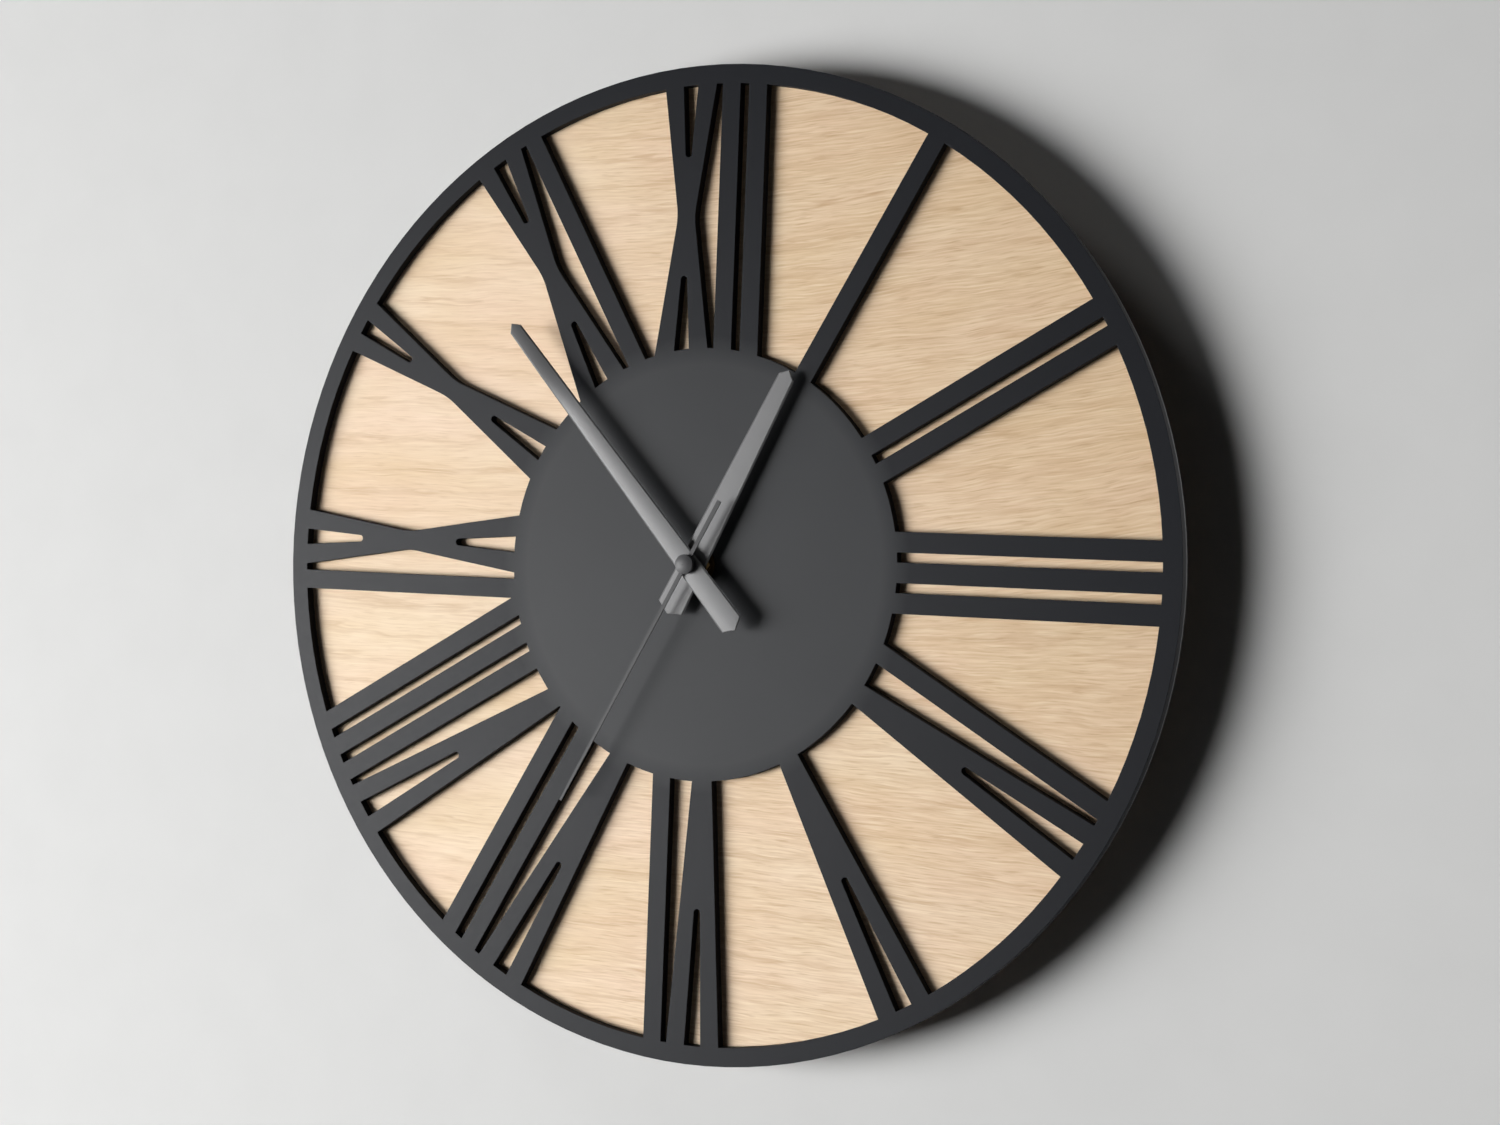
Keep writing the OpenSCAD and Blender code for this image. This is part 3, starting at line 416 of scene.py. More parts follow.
def bent_grain(tree, place):
    """Coordinates that follow the oak's fibres, and the height that its growth rings follow.

    The fibres are level at the left, climb towards the upper right, sink towards the lower right
    and swing a little on their way.
    """
    across = add_node(tree, "Math", {0: place["X"], 1: BEND_START}, operation="ADD").outputs[0]
    right = add_node(tree, "Math", {0: across, 1: 0.0}, operation="MAXIMUM").outputs[0]
    square = add_node(tree, "Math", {0: right, 1: right}, operation="MULTIPLY").outputs[0]
    # How strongly they bend, per metre: down below the axis and up above it
    bend = add_node(
        tree, "MapRange",
        {"Value": place["Z"], "From Min": -0.08, "From Max": 0.04, "To Min": 0.1, "To Max": -0.38},
    ).outputs[0]
    height = add_node(
        tree, "Math", {0: square, 1: bend, 2: place["Z"]}, operation="MULTIPLY_ADD"
    ).outputs[0]
    swing = spread(tree, noise(tree, (32, 60, 15), seed=51.0), -0.7 * MM, 0.7 * MM)
    wavy = add_node(tree, "Math", {0: height, 1: swing}, operation="ADD").outputs[0]
    bent = {"X": place["X"], "Y": place["Y"], "Z": wavy}
    return add_node(tree, "CombineXYZ", bent).outputs[0], height


def growth_rings(tree, finish, grain, height):
    """Share of late wood at a point.

    The rings run nearly level, and a long low hill bends them into the arches of a crown cut. Their
    borders are ragged, and they fade in places.
    """
    hill = noise(tree, (330, 60, 105), seed=2.4, detail=1.0, warp=grain)
    arches = add_node(tree, "Math", {0: hill, 1: 8.0}, operation="MULTIPLY").outputs[0]
    level = add_node(
        tree, "Math", {0: height, 1: 1 / finish.ring_gap, 2: arches}, operation="MULTIPLY_ADD"
    ).outputs[0]
    ragged = spread(tree, noise(tree, (26, 20, 2.2), seed=4.0, warp=grain), -0.2, 0.2)
    count = add_node(tree, "Math", {0: level, 1: ragged}, operation="ADD").outputs[0]
    saw = add_node(tree, "Math", {0: count}, operation="FRACT").outputs[0]
    ring = add_node(tree, "ValToRGB", {"Fac": saw}, stops=RING_TONES).outputs[0]
    broken = noise(tree, (55, 20, 9), seed=17.0, detail=3.0, warp=grain)
    return add_node(
        tree, "Math", {0: ring, 1: spread(tree, broken, 0.0, 0.6)}, operation="MULTIPLY"
    ).outputs[0]


def oak_veneer(finish):
    """Crown-cut oak veneer under matt lacquer on hardboard, with its grain across the dial.

    Pale early wood between soft brown late wood lines, and short pores along the grain. The edge is
    sprayed black with the dial, and the back is bare brown hardboard with its felted fibres.
    """
    made, tree, body = new_material("Oak_veneer_matt_lacquered", Specular_IOR_Level=0.3)
    position = add_node(tree, "TexCoord").outputs
    place = add_node(tree, "SeparateXYZ", {0: position["Object"]}).outputs
    grain, height = bent_grain(tree, place)
    broad = spread(tree, noise(tree, (120, 60, 30), seed=5.0, detail=3.0, warp=grain), 0.0, 1.0)
    plain = tint(tree, broad, tuple(finish.oak), tuple(finish.oak_pale))
    rosy = spread(tree, noise(tree, (70, 60, 22), seed=31.0, warp=grain), 0.0, 0.6)
    ground = tint(tree, rosy, plain, tuple(finish.oak_rosy))
    rings = growth_rings(tree, finish, grain, height)
    ringed = tint(tree, rings, ground, tuple(finish.oak_line))
    # Fibres and pores are drawn nearly 1 mm wide, because the real 0.2 mm is too fine to show
    fibre = spread(tree, noise(tree, (18, 30, 0.75), seed=9.0, detail=4.0, warp=grain), 0.0, 0.3)
    pore = finish.pore_length / MM
    dashes = noise(tree, (pore, 20, 0.7), seed=13.0, detail=2.0, warp=grain)
    pores = add_node(
        tree, "MapRange", {"Value": dashes, "From Min": 0.55, "From Max": 0.72, "To Max": 0.3}
    ).outputs[0]
    flecks = noise(tree, (1.6 * pore, 20, 0.8), seed=21.0, detail=2.0, warp=grain)
    bright = add_node(
        tree, "MapRange", {"Value": flecks, "From Min": 0.54, "From Max": 0.74, "To Max": 0.45}
    ).outputs[0]
    # All three stand out more in the right half of the leaf: painted light, which mutes the grain
    # in the left half, where the window's light falls strongest
    contrast_by_light = add_node(
        tree, "MapRange",
        {"Value": place["X"], "From Min": -0.08, "From Max": -0.02, "To Min": 0.9, "To Max": 1.65},
    ).outputs[0]
    wood = ringed
    for share, colour in (
        (fibre, finish.oak_line), (pores, finish.oak_pore), (bright, finish.oak_pale)
    ):
        found = add_node(tree, "Math", {0: share, 1: contrast_by_light}, operation="MULTIPLY").outputs[0]
        wood = tint(tree, found, wood, tuple(colour))
    # The oak is made darker and browner towards the upper right
    slant = add_node(
        tree, "Math", {0: place["Z"], 1: 0.5, 2: place["X"]}, operation="MULTIPLY_ADD"
    ).outputs[0]
    heart = add_node(tree, "MapRange", {"Value": slant, "From Max": 0.22}).outputs[0]
    wood = tint(tree, heart, wood, tint(tree, 1.0, wood, tuple(finish.heart), "MULTIPLY"))
    # Felted fibres of the hardboard, which lie in every direction of the sheet
    felt = spread(tree, noise(tree, (1.6, 1.6, 1.6), seed=41.0, detail=5.0), 0.72, 1.25)
    bare = add_node(
        tree, "HueSaturation", {"Color": tuple(finish.hardboard), "Value": felt}
    ).outputs[0]
    facing = add_node(tree, "SeparateXYZ", {0: position["Normal"]}).outputs["Y"]
    rear = add_node(tree, "Math", {0: facing, 1: 0.5}, operation="GREATER_THAN").outputs[0]
    faces = tint(tree, rear, wood, bare)
    colour = tint(tree, side_mask(tree), faces, tuple(finish.lacquer_edge))
    tree.links.new(colour, body.inputs["Base Color"])
    smooth = spread(tree, fibre, 0.52, 0.66, From_Min=0.0, From_Max=0.3)
    rough = add_node(tree, "Mix", {0: rear, 2: smooth, 3: 0.8}).outputs[0]
    tree.links.new(rough, body.inputs["Roughness"])
    hollow = add_node(tree, "Math", {0: 1.0, 1: pores}, operation="SUBTRACT").outputs[0]
    bump(tree, body, add_node(tree, "Mix", {0: rear, 2: hollow, 3: felt}).outputs[0], 0.02)
    return made


class CLOCK_OT_hands(bpy.types.Operator):
    """Presses the hour and minute hands to a low crown and lacquers all the hands and their cap"""

    bl_idname = "clock.hands"
    bl_label = "Hands"

    def execute(self, context):
        finish = context.scene.clock_finish
        sizes = context.scene.clock_parts
        # Stamped aluminium with a thin grey lacquer: even, with a soft shine along its shoulders
        lacquered = plain_finish(
            "Aluminium_pressed_grey_lacquer", finish.hand, 0.96, 1.04, (0.8, 0.8, 0.8), 0.003,
            rough=(0.38, 0.44),
        )
        dress(
            plain_finish(
                "Aluminium_stamped_grey_lacquer", finish.second, 0.96, 1.04, (0.8, 0.8, 0.8), 0.003,
                rough=(0.42, 0.48), Specular_IOR_Level=0.26,
            ),
            "second_hand",
        )
        # Deep drawn cap with the same lacquer in a darker grey
        dress(
            plain_finish(
                "Aluminium_drawn_dark_lacquer", finish.cap, 0.96, 1.04, (0.8, 0.8, 0.8), 0.003,
                rough=(0.48, 0.54),
            ),
            "hand_cap",
        )
        # The angle is counted clockwise from twelve, in degrees
        rows = (
            ("hour_hand", "hour_group", 27.3, HOUR_HAND, sizes.hour_crown, 0.0),
            (
                "minute_hand", "minute_group", 318.1, MINUTE_HAND, sizes.minute_crown,
                sizes.minute_twist,
            ),
        )
        for node, body, turn, shape, crown, twist in rows:
            self.pressed(node, body, turn, shape, crown, twist, lacquered)
        return {"FINISHED"}

    def pressed(self, node, body, turn, shape, crown, twist, made):
        """A hand with a crowned face, narrow bevels and pointed ends, twisted near its tip."""
        length, tail, tip_w, tail_w, bore, back = (size * MM for size in shape)
        thick, point = HAND_THICK, HAND_POINT
        bevel_w, bevel_h = HAND_BEVEL
        straight = length + tail - 2 * point
        # Places along the hand, each with its share of the full width
        steps = [(-tail, 0.0), (-tail + 0.5 * point, 0.5), (-tail + point, 1.0)]
        for i in range(1, HAND_STEPS):
            steps.append((-tail + point + straight * i / HAND_STEPS, 1.0))
        steps += [(length - point, 1.0), (length - 0.5 * point, 0.5), (length, 0.0)]
        matrix = facing_dial() @ Matrix.Rotation(-math.radians(turn), 4, "Z")
        points, faces = [], []
        for along, share in steps:
            t = (along + tail - point) / straight
            full = (tail_w + (tip_w - tail_w) * min(max(t, 0), 1)) / 2
            half = max(full * share, HAND_TIP)
            bevel = min(bevel_w, half * 0.5)
            edge = back + thick - crown * share**2 - bevel_h * share
            # Front from left to right: edge, bevel, crowned face, bevel, edge; then the flat back
            row = [(-half, edge)]
            for k in range(HAND_COLUMNS):
                x = (half - bevel) * (2 * k / (HAND_COLUMNS - 1) - 1)
                row.append((x, back + thick - crown * (x / full) ** 2))
            row += [(half, edge), (half, back), (-half, back)]
            way = min(max((along / length - TWIST_START) / TWIST_SPAN, 0), 1)
            angle = twist * way * way * (3 - 2 * way)
            middle = back + thick / 2
            for x, h in row:
                rise = (h - middle) * math.cos(angle) - x * math.sin(angle)
                aside = x * math.cos(angle) + (h - middle) * math.sin(angle)
                points.append(matrix @ Vector((aside, along, middle + rise)))
        width = HAND_COLUMNS + 4
        for i in range(len(steps) - 1):
            for k in range(width):
                n = (k + 1) % width
                here, there = i * width, (i + 1) * width
                faces.append((here + k, here + n, there + n, there + k))
        last = (len(steps) - 1) * width
        faces += [tuple(range(width - 1, -1, -1)), tuple(range(last, last + width))]
        piece = add_piece(
            "pressed_" + node, points, faces, body, made, HAND_SMOOTH
        )
        outward(piece)
        drill(piece, bore / 2, back)
        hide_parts(node)


def drill(piece, radius, back):
    """Cuts a round bore on the clock's axis through a hand whose back is that far off the wall."""
    # The drill reaches past both faces
    low, high = back - 2 * MM, back + 4 * MM
    wall = [(0, low), (radius, low), (radius, high), (0, high)]
    points, faces = turned(lambda angle: wall, steps=48, matrix=facing_dial())
    mesh = bpy.data.meshes.new("drill")
    mesh.from_pydata(points, [], faces)
    tool = bpy.data.objects.new("drill", mesh)
    bpy.context.scene.collection.objects.link(tool)
    outward(tool)
    cut = piece.modifiers.new("bore", "BOOLEAN")
    cut.operation = "DIFFERENCE"
    cut.solver = "MANIFOLD"
    cut.object = tool
    graph = bpy.context.evaluated_depsgraph_get()
    shape = bpy.data.meshes.new_from_object(piece.evaluated_get(graph))
    piece.modifiers.clear()
    piece.data = shape
    shape.set_sharp_from_angle(angle=math.radians(HAND_SMOOTH))
    bpy.data.objects.remove(tool)


class CLOCK_OT_fixing(bpy.types.Operator):
    """Turns the threaded bush and the nut that hold the movement in the dial"""

    bl_idname = "clock.fixing"
    bl_label = "Bush, nut, washer and gasket"

    def execute(self, context):
        sizes = context.scene.clock_parts
        # Free cutting brass from the lathe: fine rings from the tool, with its colour darkened as
        # painted shade, so that it stays dark where it lies in the hands' shadow beside the hub
        brass = plain_finish(
            "Brass_turned_shade_darkened", "#5c4a2f", 0.8, 1.1, (3.0, 0.08, 3.0), 0.004,
            rough=(0.36, 0.48), metal=1.0,
        )
        dress(brass, "brass_washer", "minute_tube")
        # Pressed nitrile rubber: matt, with a faint bloom
        rubber = plain_finish(
            "Rubber_nitrile_pressed", "#17181a", 0.85, 1.25, (0.5, 0.5, 0.5), 0.02,
            rough=(0.72, 0.85),
        )
        dress(rubber, "rubber_gasket")
        self.bush(sizes, brass)
        self.nut(sizes, brass)
        return {"FINISHED"}

    def bush(self, sizes, brass):
        """Bush with a flange in the case and a thread up to its front end."""
        low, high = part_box("centre_bush")
        back, front = -high.y, -low.y
        flange_r = high.x
        flange_front = back + 0.8 * MM
        thread_r, bore_r = 4 * MM, 2.56 * MM
        pitch, depth = sizes.thread_pitch, sizes.thread_depth
        root_r = thread_r - depth
        # The thread begins just in front of the flange and ends just short of the front end
        start, end = flange_front + 0.4 * MM, front - 0.35 * MM
        points_per_turn = 6
        count = round((end - start) / pitch * points_per_turn)
        chamfer = 0.15 * MM

        def section(angle):
            points = [(bore_r, back), (flange_r, back), (flange_r, flange_front)]
            points.append((root_r, flange_front))
            for k in range(count + 1):
                height = start + (end - start) * k / count
                phase = (height / pitch - angle / math.tau) % 1
                rise = 1 - abs(2 * phase - 1)
                points.append((thread_r - depth * (1 - rise), height))
            points += [(root_r, front), (bore_r + chamfer, front), (bore_r, front - chamfer)]
            return points

        points, faces = turned(section, steps=48, matrix=facing_dial())
        piece = add_piece("threaded_bush", points, faces, ROOT, brass, smooth_deg=50)
        outward(piece)
        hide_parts("centre_bush")

    def nut(self, sizes, brass):
        """Hexagonal nut whose front corners are turned down."""
        low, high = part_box("centre_nut")
        back, front = -high.y, -low.y
        flat_r = min(high.x, high.z)
        bore_r = 4.05 * MM
        face_r = flat_r - sizes.nut_chamfer
        bore_back, bore_front = 0.2 * MM, 0.25 * MM
        # The nut is wider along X if it has corners there, and its flats are then 30 degrees away
        half_side = math.radians(30)
        turned_by = half_side if high.x > high.z else 0.0

        def section(angle):
            turn = (angle - turned_by + half_side) % (2 * half_side) - half_side
            side = flat_r / math.cos(turn)
            drop = (side - face_r) * math.tan(half_side)
            return [
                (bore_r + bore_back, back), (side, back), (side, front - drop), (face_r, front),
                (bore_r + bore_front, front), (bore_r, front - bore_front),
                (bore_r, back + bore_back),
            ]

        points, faces = turned(section, steps=72, matrix=facing_dial())
        piece = add_piece("chamfered_nut", points, faces, ROOT, brass, smooth_deg=24)
        outward(piece)
        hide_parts("centre_nut")


class CLOCK_OT_hanger(bpy.types.Operator):
    """Finishes the hanger and the two foam spacers"""

    bl_idname = "clock.hanger"
    bl_label = "Hanger and spacers"

    def execute(self, context):
        # Zinc plated sheet steel: pale, with the rolling marks along the strip
        zinc = plain_finish(
            "Steel_sheet_zinc_plated", "#b9bcbe", 0.86, 1.06, (0.25, 0.25, 9.0), 0.003,
            rough=(0.28, 0.42), metal=1.0, edge=0.15,
        )
        dress(zinc, "hanger")
        # Closed cell foam punched from sheet: soft and dull, with cells of about half a millimetre
        foam = plain_finish(
            "Foam_polyethylene_punched", "#202123", 0.7, 1.35, (0.6, 0.6, 0.6), 0.05,
            rough=(0.85, 0.97),
        )
        dress(foam, "wall_spacers")
        return {"FINISHED"}


class CLOCK_OT_case(bpy.types.Operator):
    """Finishes the case of the movement, its cover and the setting knob"""

    bl_idname = "clock.case"
    bl_label = "Movement case"

    def execute(self, context):
        finish = context.scene.clock_finish
        # Moulded ABS with a fine spark eroded grain
        plastic = plain_finish(
            "ABS_moulded_black_grained", finish.case, 0.9, 1.12, (0.35, 0.35, 0.35), 0.018,
            rough=(0.42, 0.56), edge=0.25,
        )
        dress(plastic, "case_front", "case_cover")
        smooth = plain_finish(
            "ABS_moulded_black_plain", "#232427", 0.95, 1.06, (0.6, 0.6, 0.6), 0.004,
            rough=(0.32, 0.4),
        )
        dress(smooth, "setting_knob")
        return {"FINISHED"}


class CLOCK_OT_cell(bpy.types.Operator):
    """Makes the AA cell and finishes its contacts"""

    bl_idname = "clock.cell"
    bl_label = "Cell and contacts"

    def execute(self, context):
        finish = context.scene.clock_finish
        # Nickel plated spring steel: bright and slightly warm
        nickel = plain_finish(
            "Steel_spring_nickel_plated", "#c6c1b8", 0.9, 1.05, (0.3, 0.3, 4.0), 0.002,
            rough=(0.16, 0.28), metal=1.0,
        )
        dress(nickel, "contact_plus", "contact_minus")
        # Heat shrunk sleeve: a glossy film over the steel can, with a thin grey band near the nub
        sleeve = plain_finish(
            "PVC_sleeve_shrunk_pale", finish.jacket, 0.93, 1.07, (0.5, 6.0, 6.0), 0.004,
            rough=(0.22, 0.32), Coat_Weight=0.4, Coat_Roughness=0.12,
        )
        band = plain_finish(
            "PVC_sleeve_shrunk_grey", "#6d7378", 0.93, 1.07, (0.5, 6.0, 6.0), 0.004,
            rough=(0.24, 0.34), Coat_Weight=0.4, Coat_Roughness=0.12,
        )
        seal = plain_finish(
            "Nylon_seal_grey", "#5c5f63", 0.9, 1.1, (0.4, 0.4, 0.4), 0.01, rough=(0.5, 0.6)
        )
        low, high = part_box("battery")
        middle = (low + high) / 2
        length, radius = (high.x - low.x) / MM, (high.z - low.z) / 2 / MM
        # Section of the cell from the middle of the nub to the middle of the base, in mm: radius
        # and place along the cell, and the finish from there to the next point
        metal, film, plug, stripe = range(4)
        shape = [
            (0.0, 0.0, metal), (2.2, 0.0, metal), (2.6, 0.12, metal), (2.7, 0.45, metal),
            (2.7, 1.15, metal), (2.95, 1.3, metal), (4.9, 1.32, metal), (5.0, 1.3, plug),
            (5.7, 1.3, plug), (5.75, 1.22, film), (6.35, 1.24, film), (6.8, 1.5, film),
            (radius, 2.2, film), (radius, 10.5, stripe), (radius, 11.0, film),
            (radius, length - 1.1, film), (radius - 0.25, length - 0.45, film),
            (radius - 0.8, length - 0.2, film), (radius - 1.3, length - 0.2, metal),
            (5.0, length - 0.12, metal), (4.5, length, metal), (0.0, length, metal),
        ]
        section = [(r * MM, along * MM) for r, along, _ in shape]
        matrix = along_x(low.x, middle.y, middle.z)
        points, faces = turned(lambda angle: section, steps=64, matrix=matrix)
        finishes = [nickel, sleeve, seal, band]
        piece = add_piece(
            "aa_cell", points, faces, ROOT, finishes, smooth_deg=35
        )
        for face in piece.data.polygons:
            face.material_index = shape[face.index % len(shape)][2]
        outward(piece)
        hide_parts("battery")
        return {"FINISHED"}


class CLOCK_OT_train(bpy.types.Operator):
    """Finishes the wheels and the plate that carries them"""

    bl_idname = "clock.train"
    bl_label = "Train"

    def execute(self, context):
        # Moulded acetal: waxy ivory, and a little light goes into it
        acetal = plain_finish(
            "Acetal_moulded_ivory", "#dcd6c4", 0.95, 1.03, (0.5, 0.5, 0.5), 0.004,
            rough=(0.36, 0.46), Subsurface_Weight=0.15, Subsurface_Scale=0.0006,
        )
        dress(
            acetal, "train_plate", "coil_bobbin", "rotor_pinion", "intermediate_wheel",
            "second_wheel", "third_wheel", "centre_wheel", "minute_wheel", "hour_wheel",
        )
        return {"FINISHED"}


class CLOCK_OT_motor(bpy.types.Operator):
    """Winds the coil and finishes the motor and the circuit board"""

    bl_idname = "clock.motor"
    bl_label = "Motor and circuit"

    def execute(self, context):
        sizes = context.scene.clock_parts
        # Annealed soft iron sheet, stamped: grey with a faint scale
        iron = plain_finish(
            "Iron_sheet_annealed", "#85878a", 0.82, 1.08, (0.3, 0.3, 2.5), 0.004,
            rough=(0.34, 0.5), metal=1.0,
        )
        dress(iron, "stator", "coil_core")
        # Sintered ferrite: dark grey and slightly crystalline
        ferrite = plain_finish(
            "Ferrite_sintered", "#2b2b2d", 0.8, 1.25, (0.15, 0.15, 0.15), 0.006, rough=(0.4, 0.62)
        )
        dress(ferrite, "rotor_magnet")
        # Phenolic paper board: brown, with the paper's cloud showing through
        phenolic = plain_finish(
            "Phenolic_paper_board", "#8a6236", 0.85, 1.12, (0.5, 0.5, 0.5), 0.004,
            rough=(0.3, 0.45),
        )
        dress(phenolic, "circuit_board")
        # A drop of black epoxy over the chip, cured glossy
        epoxy = plain_finish(
            "Epoxy_drop_black", "#0f0f10", 0.9, 1.1, (1.2, 1.2, 1.2), 0.01, rough=(0.1, 0.18)
        )
        dress(epoxy, "chip")
        # Drawn and tinned can of the crystal
        can = plain_finish(
            "Can_drawn_tinned", "#c2c3c0", 0.9, 1.04, (5.0, 0.3, 0.3), 0.002, rough=(0.2, 0.3),
            metal=1.0,
        )
        dress(can, "crystal")
        self.coil(sizes)
        return {"FINISHED"}

    def coil(self, sizes):
        """Turns of enamelled wire on the bobbin, side by side in one visible layer."""
        # Enamelled copper: clear film over orange metal, so its shine is sharp
        copper = plain_finish(
            "Copper_wire_enamelled", "#b5622e", 0.8, 1.12, (0.4, 0.4, 0.4), 0.002,
            rough=(0.2, 0.3), metal=1.0, Coat_Weight=0.6, Coat_Roughness=0.08,
        )
        low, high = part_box("coil_winding")
        middle = (low + high) / 2
        wire_r = sizes.wire / 2
        outer = (high.z - low.z) / 2 - wire_r
        length = high.x - low.x
        turns = int((length - 2 * wire_r) / sizes.wire)
        # Steps in one turn, and points round the wire
        per_turn, ring = 20, 6
        count = turns * per_turn
        points, faces = [], []
        for i in range(count + 1):
            angle = math.tau * i / per_turn
            along = low.x + wire_r + (length - 2 * wire_r) * i / count
            for k in range(ring):
                turn = math.tau * k / ring
                radius = outer + wire_r * math.cos(turn)
                points.append(
                    (
                        along + wire_r * math.sin(turn),
                        middle.y + radius * math.cos(angle),
                        middle.z + radius * math.sin(angle),
                    )
                )
        for i in range(count):
            for k in range(ring):
                n = (k + 1) % ring
                here, there = i * ring, (i + 1) * ring
                faces.append((here + k, here + n, there + n, there + k))
        last = count * ring
        faces.append(tuple(range(ring)))
        faces.append(tuple(range(last + ring - 1, last - 1, -1)))
        # Lower layers, seen only as a sleeve between the turns, with the bobbin in their bore
        bore_r = 2.02 * MM
        inner = [(bore_r, 0.0), (outer, 0.0), (outer, length), (bore_r, length)]
        matrix = along_x(low.x, middle.y, middle.z)
        more, sleeve_faces = turned(lambda angle: inner, steps=32, matrix=matrix)
        offset = len(points)
        points += more
        faces += [tuple(offset + v for v in face) for face in sleeve_faces]
        piece = add_piece(
            "wound_coil", points, faces, ROOT, copper, smooth_deg=60
        )
        outward(piece)
        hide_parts("coil_winding")


def seen_share(tree):
    """1 for what is seen directly, mirrored or through glass, and 0 for light that bounces."""
    path = add_node(tree, "LightPath").outputs
    share = path["Is Camera Ray"]
    for kind in ("Is Glossy Ray", "Is Transmission Ray"):
        share = add_node(tree, "Math", {0: share, 1: path[kind]}, operation="MAXIMUM").outputs[0]
    return share


def shader_of(made):
    """The Principled shader of a material."""
    return next(n for n in made.node_tree.nodes if n.type == "BSDF_PRINCIPLED")


class CLOCK_OT_stage(bpy.types.Operator):
    """Sets the wall, the floor, the lamps, the room's light and the camera"""

    bl_idname = "clock.stage"
    bl_label = "Stage"

    def execute(self, context):
        stage = context.scene.clock_stage
        self.surfaces(stage)
        self.lamps(stage)
        self.room(context.scene, stage)
        self.camera(context.scene, stage)
        context.scene.view_settings.view_transform = "Standard"
        return {"FINISHED"}

    def surfaces(self, stage):
        """The wall behind the clock and the floor."""
        paint = plain_finish(
            "Emulsion_rolled_wall", stage.wall, 0.99, 1.01, (2.5, 2.5, 2.5), 0.01,
            rough=(0.8, 0.9), Specular_IOR_Level=0.2,
        )
        self.open_from_behind(paint)
        screed = plain_finish(
            "Screed_painted_floor", stage.floor, 0.98, 1.02, (5.0, 5.0, 5.0), 0.02,
            rough=(0.7, 0.8),
        )
        self.pale_where_seen(screed, stage.floor_pale)
        gap, drop = 0.1 * MM, -stage.floor_drop
        left, right, top = -4.0, 4.0, 1.6
        wall = [(left, gap, drop), (right, gap, drop), (right, gap, top), (left, gap, top)]
        far = 14.0
        floor = [(-far, -far, drop), (far, -far, drop), (far, far, drop), (-far, far, drop)]
        for name, corners, made in (("stage_wall", wall, paint), ("stage_floor", floor, screed)):
            mesh = bpy.data.meshes.new(name)
            mesh.from_pydata(corners, [], [(0, 1, 2, 3)])
            mesh.materials.append(made)
            sheet = bpy.data.objects.new(name, mesh)
            bpy.context.scene.collection.objects.link(sheet)

    def open_from_behind(self, paint):
        """Lets views from behind see the clock through the wall."""
        tree = paint.node_tree
        out = next(n for n in tree.nodes if n.type == "OUTPUT_MATERIAL")
        path = add_node(tree, "LightPath").outputs
        rear = add_node(tree, "NewGeometry").outputs["Backfacing"]
        # The lamps behind the wall light the clock's back, but nothing by way of a second surface
        first = add_node(
            tree, "Math", {0: path["Diffuse Depth"], 1: 0.5}, operation="LESS_THAN"
        ).outputs[0]
        lit = add_node(
            tree, "Math", {0: path["Is Shadow Ray"], 1: first}, operation="MULTIPLY"
        ).outputs[0]
        # Metal close to the wall mirrors the room, as it does when it is off the wall
        near = add_node(
            tree, "Math", {0: path["Ray Length"], 1: MIRROR_GAP}, operation="LESS_THAN"
        ).outputs[0]
        shine = add_node(
            tree, "Math", {0: path["Is Glossy Ray"], 1: near}, operation="MULTIPLY"
        ).outputs[0]
        share = rear
        for other in (lit, shine):
            share = add_node(tree, "Math", {0: share, 1: other}, operation="MAXIMUM").outputs[0]
        clear = add_node(tree, "BsdfTransparent").outputs[0]
        solid = shader_of(paint).outputs[0]
        mixed = add_node(tree, "MixShader", {0: share, 1: solid, 2: clear})
        tree.links.new(mixed.outputs[0], out.inputs["Surface"])

    def pale_where_seen(self, screed, glow):
        """Makes the floor pale where it is seen, and dark for the light that it throws."""
        tree, shader = screed.node_tree, shader_of(screed)
        colour = shader.inputs["Base Color"].links[0].from_socket
        seen = seen_share(tree)
        tree.links.new(tint(tree, seen, srgb("#2a2a2a"), colour), shader.inputs["Base Color"])
        shader.inputs["Emission Color"].default_value = srgb("#f4f5f5")
        lit = add_node(tree, "Math", {0: seen, 1: glow}, operation="MULTIPLY").outputs[0]
        tree.links.new(lit, shader.inputs["Emission Strength"])

    def lamps(self, stage):
        """A large window at the left, a faint light from above, and two lamps for the back."""
        # Place, the point that the lamp looks at, its size and its power
        rows = (
            ("window", (-2.46, -2.1, -0.42), (-0.3, 0, -0.3), (3.0, 1.45), stage.key_power),
            ("ceiling", (-1.8, -1.05, 2.16), (0, 0, 0), (0.8, 0.8), stage.top_power),
            ("left_rear", (-1.5, 1.1, 0.7), (0, 0, 0), (0.9, 0.9), stage.back_power),
            ("right_rear", (2.0, 0.8, 0.6), (0, 0, 0), (0.9, 0.9), stage.back_power),
        )
        for name, place, target, size, power in rows:
            light = bpy.data.lights.new(name, "AREA")
            light.shape = "ELLIPSE"
            light.size, light.size_y = size
            light.energy = power
            light.spread = stage.lamp_spread
            lamp = bpy.data.objects.new(name, light)
            lamp.location = place
            toward = Vector(target) - lamp.location
            lamp.rotation_euler = toward.to_track_quat("-Z", "Y").to_euler()
            lamp.visible_camera = False
            bpy.context.scene.collection.objects.link(lamp)

    def room(self, scene, stage):
        """Dim room light, with a pale background for what is seen directly or in a reflection."""
        world = bpy.data.worlds.new("Room")
        world.use_nodes = True
        tree = world.node_tree
        tree.nodes.clear()
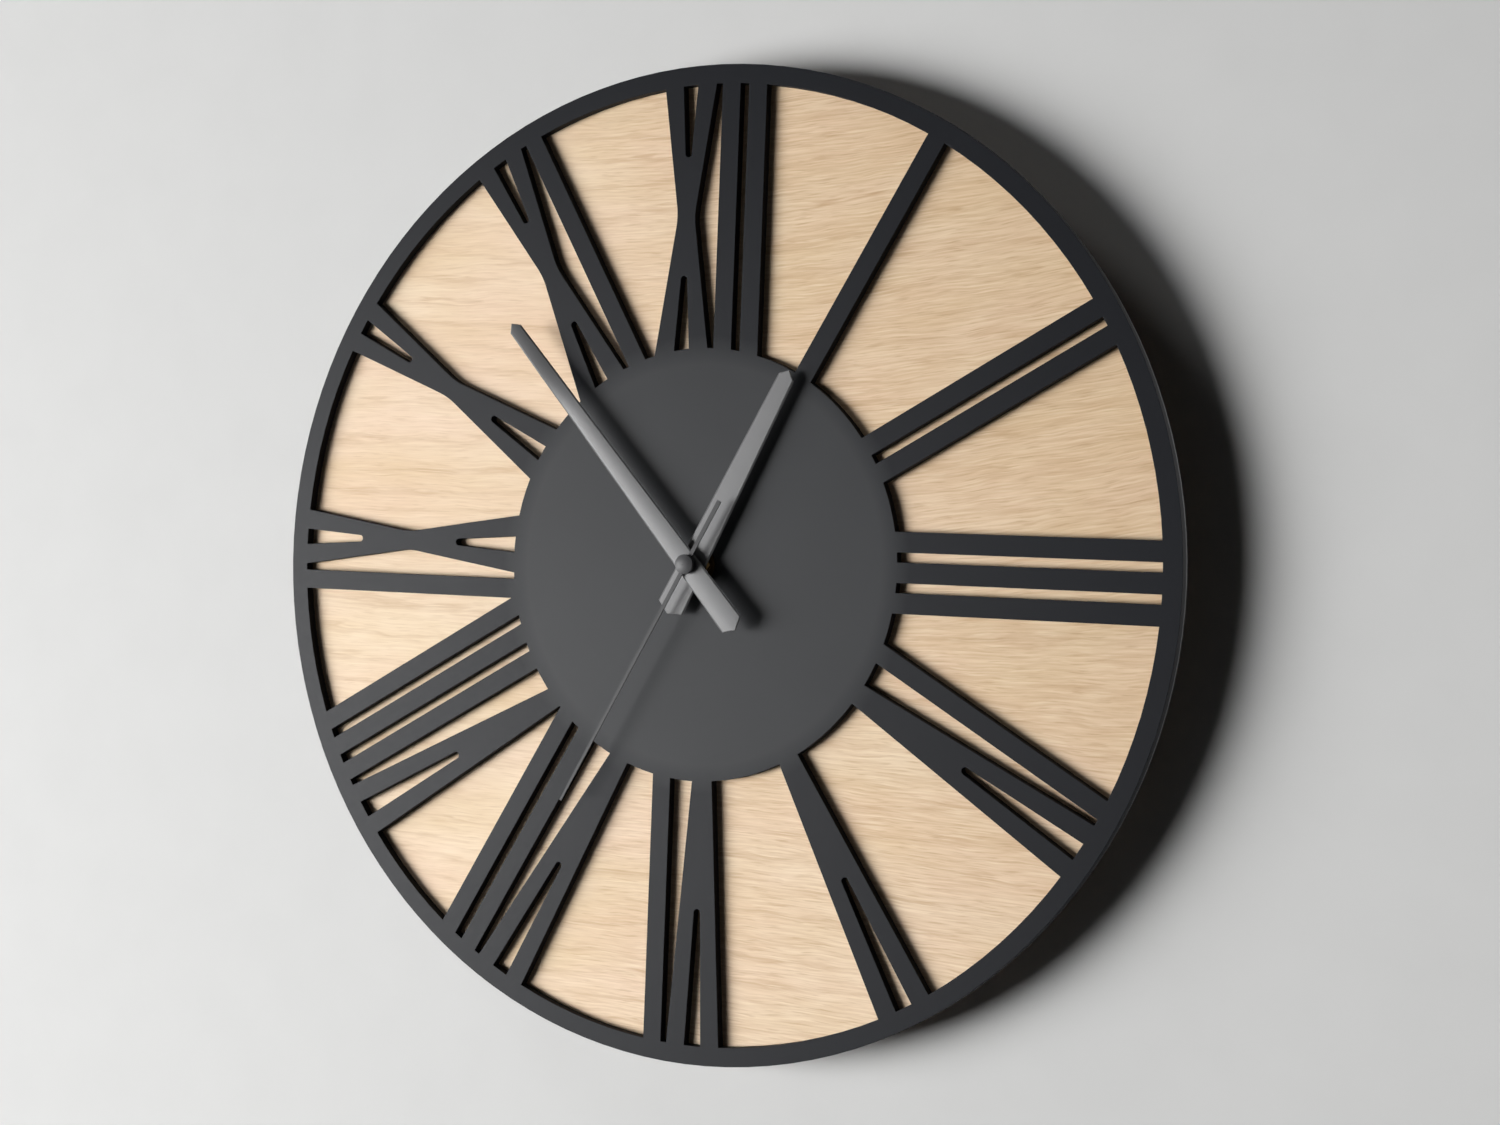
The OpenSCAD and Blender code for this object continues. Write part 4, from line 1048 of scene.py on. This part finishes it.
        # The room in front of the clock is darker than what lies behind it
        way = add_node(tree, "TexCoord").outputs["Generated"]
        depth = add_node(tree, "SeparateXYZ", {0: way}).outputs["Y"]
        mirrored = {
            "Value": depth, "From Min": -0.25, "From Max": 0.25, "To Min": 0.25, "To Max": 0.8
        }
        mirror = add_node(tree, "MapRange", mirrored).outputs[0]
        camera = add_node(tree, "LightPath").outputs["Is Camera Ray"]
        level = add_node(tree, "Mix", {0: camera, 2: mirror, 3: 0.8}).outputs[0]
        thrown = {
            "Value": depth, "From Min": 0.0, "From Max": 0.25, "To Min": 0.002,
            "To Max": stage.fill,
        }
        fill = add_node(tree, "MapRange", thrown).outputs[0]
        dim = add_node(tree, "Background", {"Color": srgb("#ffffff"), "Strength": fill})
        pale = add_node(tree, "Background", {"Color": srgb("#f2f3f4"), "Strength": level})
        both = {0: seen_share(tree), 1: dim.outputs[0], 2: pale.outputs[0]}
        mixed = add_node(tree, "MixShader", both)
        add_node(tree, "OutputWorld", {"Surface": mixed.outputs[0]})
        scene.world = world

    def camera(self, scene, stage):
        """Camera at the right of the clock's axis, level with its centre."""
        data = bpy.data.cameras.new("camera")
        data.lens = stage.lens
        data.sensor_width = 36
        view = bpy.data.objects.new("camera", data)
        view.location = CAMERA_PLACE
        view.rotation_euler = [math.radians(angle) for angle in CAMERA_TURN]
        scene.collection.objects.link(view)
        scene.camera = view


STEPS = (
    CLOCK_OT_dial, CLOCK_OT_hands, CLOCK_OT_fixing, CLOCK_OT_hanger, CLOCK_OT_case, CLOCK_OT_cell,
    CLOCK_OT_train, CLOCK_OT_motor, CLOCK_OT_stage,
)


class CLOCK_PT_panel(bpy.types.Panel):
    """Settings and steps of the wall clock"""

    bl_idname = "CLOCK_PT_panel"
    bl_label = "Wall Clock"
    bl_space_type = "VIEW_3D"
    bl_region_type = "UI"
    bl_category = "Clock"

    def draw(self, context):
        for group_name in GROUPS:
            group = getattr(context.scene, group_name)
            box = self.layout.box()
            for name in group.__annotations__:
                box.prop(group, name)
        for step in STEPS:
            self.layout.operator(step.bl_idname)


GROUPS = {"clock_finish": ClockFinish, "clock_parts": ClockParts, "clock_stage": ClockStage}


def register():
    """Registers the settings, the steps and the panel."""
    for name, group in GROUPS.items():
        bpy.utils.register_class(group)
        setattr(bpy.types.Scene, name, bpy.props.PointerProperty(type=group))
    for step in (*STEPS, CLOCK_PT_panel):
        bpy.utils.register_class(step)


def unregister():
    """Takes everything out again that register() put in."""
    for step in (CLOCK_PT_panel, *reversed(STEPS)):
        bpy.utils.unregister_class(step)
    for name, group in GROUPS.items():
        delattr(bpy.types.Scene, name)
        bpy.utils.unregister_class(group)


def main():
    """Dresses the clock and sets its stage."""
    register()
    for step in STEPS:
        area, _, name = step.bl_idname.partition(".")
        getattr(getattr(bpy.ops, area), name)()


if __name__ == "__main__":
    main()
